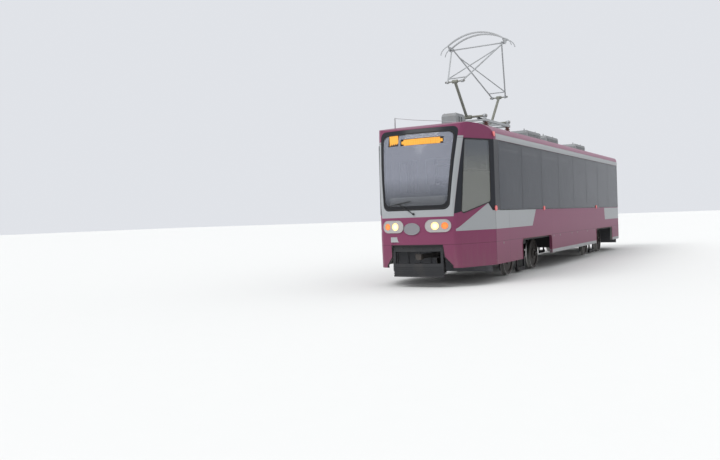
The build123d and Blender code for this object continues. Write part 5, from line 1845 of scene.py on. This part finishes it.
@dataclass
class Cab:
    """Instrument hood, gauges, lever and the driver's seat, seen through the glass."""

    fitter: Fitter
    seat_x: float = 6.48
    floor_z: float = 0.89
    hood: tuple[Point, Point] = ((7.22, -0.60, 1.47), (7.40, 0.60, 1.78))
    panel_up: Point = (-0.627, 0.0, 0.779)
    panel_along: Point = (0.779, 0.0, 0.627)
    dials_y: tuple[float, ...] = (-0.26, 0.0, 0.26)
    dial: Point = (7.05, 1.411, 0.055)
    key_corner: Point = (7.03, -0.85, 1.395)
    key_step: Pair = (0.055, 0.06)
    key: float = 0.014
    lever_foot: Point = (7.04, 0.62, 1.40)
    lever: float = 0.16
    folds: int = 7
    fold_step: float = 0.045
    fold_radii: Pair = (0.105, 0.085)
    pad_pivot: Point = (-0.19, 0.0, 0.45)
    pads: tuple[tuple[str, Point, Point, float, int], ...] = (
        ("driver_squab", (-0.225, -0.24, 0.395), (0.255, 0.24, 0.495), 0.0, 4),
        ("driver_backrest", (-0.245, -0.23, 0.46), (-0.135, 0.23, 1.16), -0.135, 3),
        ("driver_head_rest", (-0.235, -0.135, 1.185), (-0.155, 0.135, 1.345), -0.135, 0))
    lights_x: Pair = (-5.8, 5.85)
    lights_y: float = 0.42
    lights_z: Pair = (3.115, 3.160)

    def build(self) -> None:
        """Make every fitting of the cab."""
        self._hood()
        self._controls()
        self._seat_base()
        self._pads()
        self._saloon_lights()

    def _hood(self) -> None:
        """Pale hood along the desk behind the windscreen."""
        hood = Bench.block("instrument_hood", *self.hood, 0.03, 3)
        Bench.faces(hood, (-1, 0, 0), lambda: bpy.ops.mesh.inset(thickness=0.03, depth=-0.03))
        self.fitter.fit(hood, Body.CAR, "pale_plastic", "cab_plastic")

    def _controls(self) -> None:
        """Gauges, push buttons and the controller on the sloping panel."""
        lean = Vector(self.panel_up).normalized()
        along = Vector(self.panel_along).normalized()
        rings, keys = [], []
        x, z, radius = self.dial
        for y in self.dials_y:
            middle = Vector((x, y, z)) + lean * 0.001
            rings.append(Bench.round("dial", tuple(middle), tuple(middle + lean * 0.012), radius, 32, 0.003))
            rings.append(Bench.ring("rim", tuple(middle + lean * 0.012), tuple(lean), 0.053, 0.005))
        x, y, z = self.key_corner
        across, up = self.key_step
        for row in range(2):
            for k in range(8):
                middle = Vector((x, y + across * k, z)) + along * (up * row)
                top = tuple(middle + lean * 0.012)
                keys.append(Bench.round("key", tuple(middle), top, self.key, 16, 0.002))
        stem = Vector(self.lever_foot)
        knob = stem + lean * self.lever
        rings.append(Bench.round("lever", tuple(stem), tuple(knob), 0.010, 16))
        grip = [tuple(knob - lean * 0.01), tuple(knob + lean * 0.06)]
        rings.append(Bench.round("grip", *grip, 0.024, 24, 0.008))
        self.fitter.fit(Bench.join("desk_gauges", rings), Body.CAR, "case_black", "cab_plastic")
        self.fitter.fit(Bench.join("desk_keys", keys), Body.CAR, "tail_amber", "amber_lens")

    def _seat_base(self) -> None:
        """Foot, gaiter and shell of the driver's seat."""
        x, z = self.seat_x, self.floor_z
        foot = Bench.round("foot", (x, 0.0, z), (x, 0.0, z + 0.03), 0.21, 48, 0.008)
        parts = [foot]
        for k in range(self.folds):
            low = z + 0.03 + self.fold_step * k
            radius = self.fold_radii[k % 2]
            parts.append(Bench.round("fold", (x, 0.0, low), (x, 0.0, low + 0.047), radius, 32, 0.012))
        parts.append(Bench.block("pan", (x - 0.20, -0.22, z + 0.34), (x + 0.24, 0.22, z + 0.39), 0.015))
        stay = [(x - 0.15, 0.0, z + 0.37), (x - 0.27, 0.0, z + 0.42), (x - 0.30, 0.0, z + 1.20)]
        parts.append(Bench.tube("stay", stay, 0.02))
        self.fitter.fit(Bench.join("driver_seat_base", parts), Body.CAR, "cab_plastic", "cab_plastic")

    def _pad(self, name: str, low: Point, high: Point, lean: float, pivot: Point, channels: int) -> None:
        """Crowned cushion with sewn channels, leaned back about a pivot.

        Args:
            name: The piece's name.
            low: Lowest corner.
            high: Highest corner.
            lean: Turn about the pivot, in radians.
            pivot: The pivot.
            channels: Number of channels, none for a plain one.
        """
        pad = Bench.block(name, low, high, 0.028, 2)
        Bench.edit(pad, lambda: bpy.ops.mesh.subdivide(number_cuts=5, smoothness=0.0))
        a, b = Vector(low), Vector(high)
        middle, half = (a + b) / 2, (b - a) / 2
        thin = min(range(3), key=lambda i: half[i])
        wide = [i for i in range(3) if i != thin]
        for vertex in pad.data.vertices:
            off = vertex.co - middle
            u, v = (off[i] / half[i] for i in wide)
            crown = (1 - min(1.0, abs(u)) ** 2.4) * (1 - min(1.0, abs(v)) ** 2.4)
            away = 1.0 if off[thin] > 0 else -1.0
            groove = 0.0
            if channels:
                groove = max(0.0, 1 - abs(math.sin(math.pi * channels * (u + 1) / 2)) * 7) * 0.006
            vertex.co[thin] += away * (crown * half[thin] * 0.30 - groove) - away * half[thin] * 0.14
            if abs(v) > 0.85:
                vertex.co[wide[1]] -= math.copysign((1 - u * u) * 0.010, v)
        modifier = pad.modifiers.new("soft", "SUBSURF")
        modifier.levels = modifier.render_levels = 1
        Bench.clear()
        pad.select_set(True)
        bpy.context.view_layer.objects.active = pad
        bpy.ops.object.modifier_apply(modifier=modifier.name)
        inward, outward = Matrix.Translation(-Vector(pivot)), Matrix.Translation(pivot)
        pad.data.transform(outward @ Matrix.Rotation(lean, 4, "Y") @ inward)
        self.fitter.fit(pad, Body.CAR, "cloth", "driver_fabric", 50.0)
        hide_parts("driver_seat")

    def _pads(self) -> None:
        """Squab, backrest and head rest."""
        for name, low, high, lean, channels in self.pads:
            corners = (low, high, self.pad_pivot)
            low, high, pivot = [(self.seat_x + x, y, self.floor_z + z) for x, y, z in corners]
            self._pad(name, low, high, lean, pivot, channels)

    def _saloon_lights(self) -> None:
        """Two light strips under the saloon ceiling."""
        strips = []
        (x0, x1), (z0, z1) = self.lights_x, self.lights_z
        for side in Side:
            y = side.value * self.lights_y
            strips.append(Bench.block("strip", (x0, y - 0.07, z0), (x1, y + 0.07, z1), 0.012))
        self.fitter.fit(Bench.join("saloon_light_strips", strips), Body.CAR, "strip_light", "lamp_bezel")


@dataclass
class Stage:
    """Floor, light and camera."""

    shop: Shop
    eye: Point = (20.526, 6.236, 1.407)
    yaw: float = 0.521
    pitch: float = -0.0165
    roll: float = -0.0355
    lens: float = 37.0
    backdrop: Colour = (0.75, 0.77, 0.81)
    ambient: float = 0.95
    surroundings: tuple[Pair, ...] = ((0.0, 0.10), (0.47, 0.14), (0.53, 0.34), (0.72, 0.80), (1.0, 1.0))
    suns: tuple[tuple[str, Point, float, float], ...] = (
        ("key", (0.75, 0.25, 0.85), 1.5, 35.0), ("fill", (0.95, 0.0, -2.0), 0.5, 60.0))

    def build(self) -> None:
        """Make the stage."""
        self._floor()
        self._world()
        self._lamps()
        self._camera()

    def _floor(self) -> None:
        """Pale floor under the wheels."""
        Bench.clear()
        bpy.ops.mesh.primitive_plane_add(size=400.0, location=(0.0, 0.0, 0.0))
        floor = Bench.settle("stage_floor")
        floor.data.materials.append(self.shop["stage"])
        floor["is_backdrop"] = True

    def _world(self) -> None:
        """Light graded from ground to ceiling, and an even pale grey where it is seen or mirrored."""
        world = bpy.data.worlds.new("studio")
        bpy.context.scene.world = world
        world.use_nodes = True
        tree = world.node_tree
        tree.nodes.clear()
        way = tree.nodes.new("ShaderNodeTexCoord")
        split = tree.nodes.new("ShaderNodeSeparateXYZ")
        height = tree.nodes.new("ShaderNodeMapRange")
        height.inputs["From Min"].default_value = -1.0
        ramp = tree.nodes.new("ShaderNodeValToRGB")
        stops = self.surroundings
        while len(ramp.color_ramp.elements) < len(stops):
            ramp.color_ramp.elements.new(1.0)
        for element, (place, shade) in zip(ramp.color_ramp.elements, stops):
            element.position = place
            element.color = (shade * 0.96, shade * 0.98, shade, 1.0)
        path = tree.nodes.new("ShaderNodeLightPath")
        light, shown = tree.nodes.new("ShaderNodeBackground"), tree.nodes.new("ShaderNodeBackground")
        light.inputs[1].default_value = self.ambient
        shown.inputs[0].default_value = (*self.backdrop, 1.0)
        shown.inputs[1].default_value = 1.0
        mix = tree.nodes.new("ShaderNodeMixShader")
        output = tree.nodes.new("ShaderNodeOutputWorld")
        tree.links.new(way.outputs["Generated"], split.inputs[0])
        tree.links.new(split.outputs["Z"], height.inputs["Value"])
        tree.links.new(height.outputs[0], ramp.inputs[0])
        tree.links.new(ramp.outputs[0], light.inputs[0])
        seen = path.outputs["Is Camera Ray"]
        for kind in ("Is Glossy Ray", "Is Transmission Ray"):
            either = tree.nodes.new("ShaderNodeMath")
            either.operation = "MAXIMUM"
            tree.links.new(seen, either.inputs[0])
            tree.links.new(path.outputs[kind], either.inputs[1])
            seen = either.outputs[0]
        tree.links.new(seen, mix.inputs[0])
        tree.links.new(light.outputs[0], mix.inputs[1])
        tree.links.new(shown.outputs[0], mix.inputs[2])
        tree.links.new(mix.outputs[0], output.inputs[0])

    def _lamps(self) -> None:
        """One wide soft sun from the front left and a weak one from the rear right."""
        for name, angle, power, spread in self.suns:
            Bench.clear()
            bpy.ops.object.light_add(type="SUN", location=(0.0, 0.0, 12.0), rotation=angle)
            lamp = bpy.context.object
            lamp.name = f"{name}_light"
            lamp.data.energy = power
            lamp.data.angle = math.radians(spread)

    def _camera(self) -> None:
        """Camera at the photograph's viewpoint."""
        level = math.cos(self.pitch)
        forward = Vector((-math.cos(self.yaw) * level, -math.sin(self.yaw) * level, math.sin(self.pitch)))
        right = forward.cross(Vector((0.0, 0.0, 1.0))).normalized()
        up = right.cross(forward)
        turned_right = right * math.cos(self.roll) + up * math.sin(self.roll)
        turned_up = up * math.cos(self.roll) - right * math.sin(self.roll)
        Bench.clear()
        bpy.ops.object.camera_add(location=self.eye)
        camera = bpy.context.object
        camera.name = "camera"
        camera.matrix_world = Matrix.Translation(self.eye) @ Matrix(
            (turned_right, turned_up, -forward)).transposed().to_4x4()
        camera.data.lens = self.lens
        camera.data.sensor_width = 36.0
        camera.data.clip_end = 500.0
        bpy.context.scene.camera = camera


def main() -> tuple[list[float], list[float]]:
    """Build the whole scene.

    Returns:
        The frame's box before anything was added.
    """
    logging.basicConfig(level=logging.INFO, format="%(message)s")
    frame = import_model()
    start = [list(corner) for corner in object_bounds()]
    bpy.context.scene.view_settings.view_transform = "Standard"
    shop = Shop()
    fitter = Fitter(shop)
    CarFinish(shop).dress(frame["nodes"])
    for assembly in (Ends, Sides, Roof, RunningGear, Pantograph, Cab):
        assembly(fitter).build()
    Stage(shop).build()
    LOG.info("fitted %d pieces", fitter.count)
    return start


if __name__ == "__main__":
    frame_box = main()
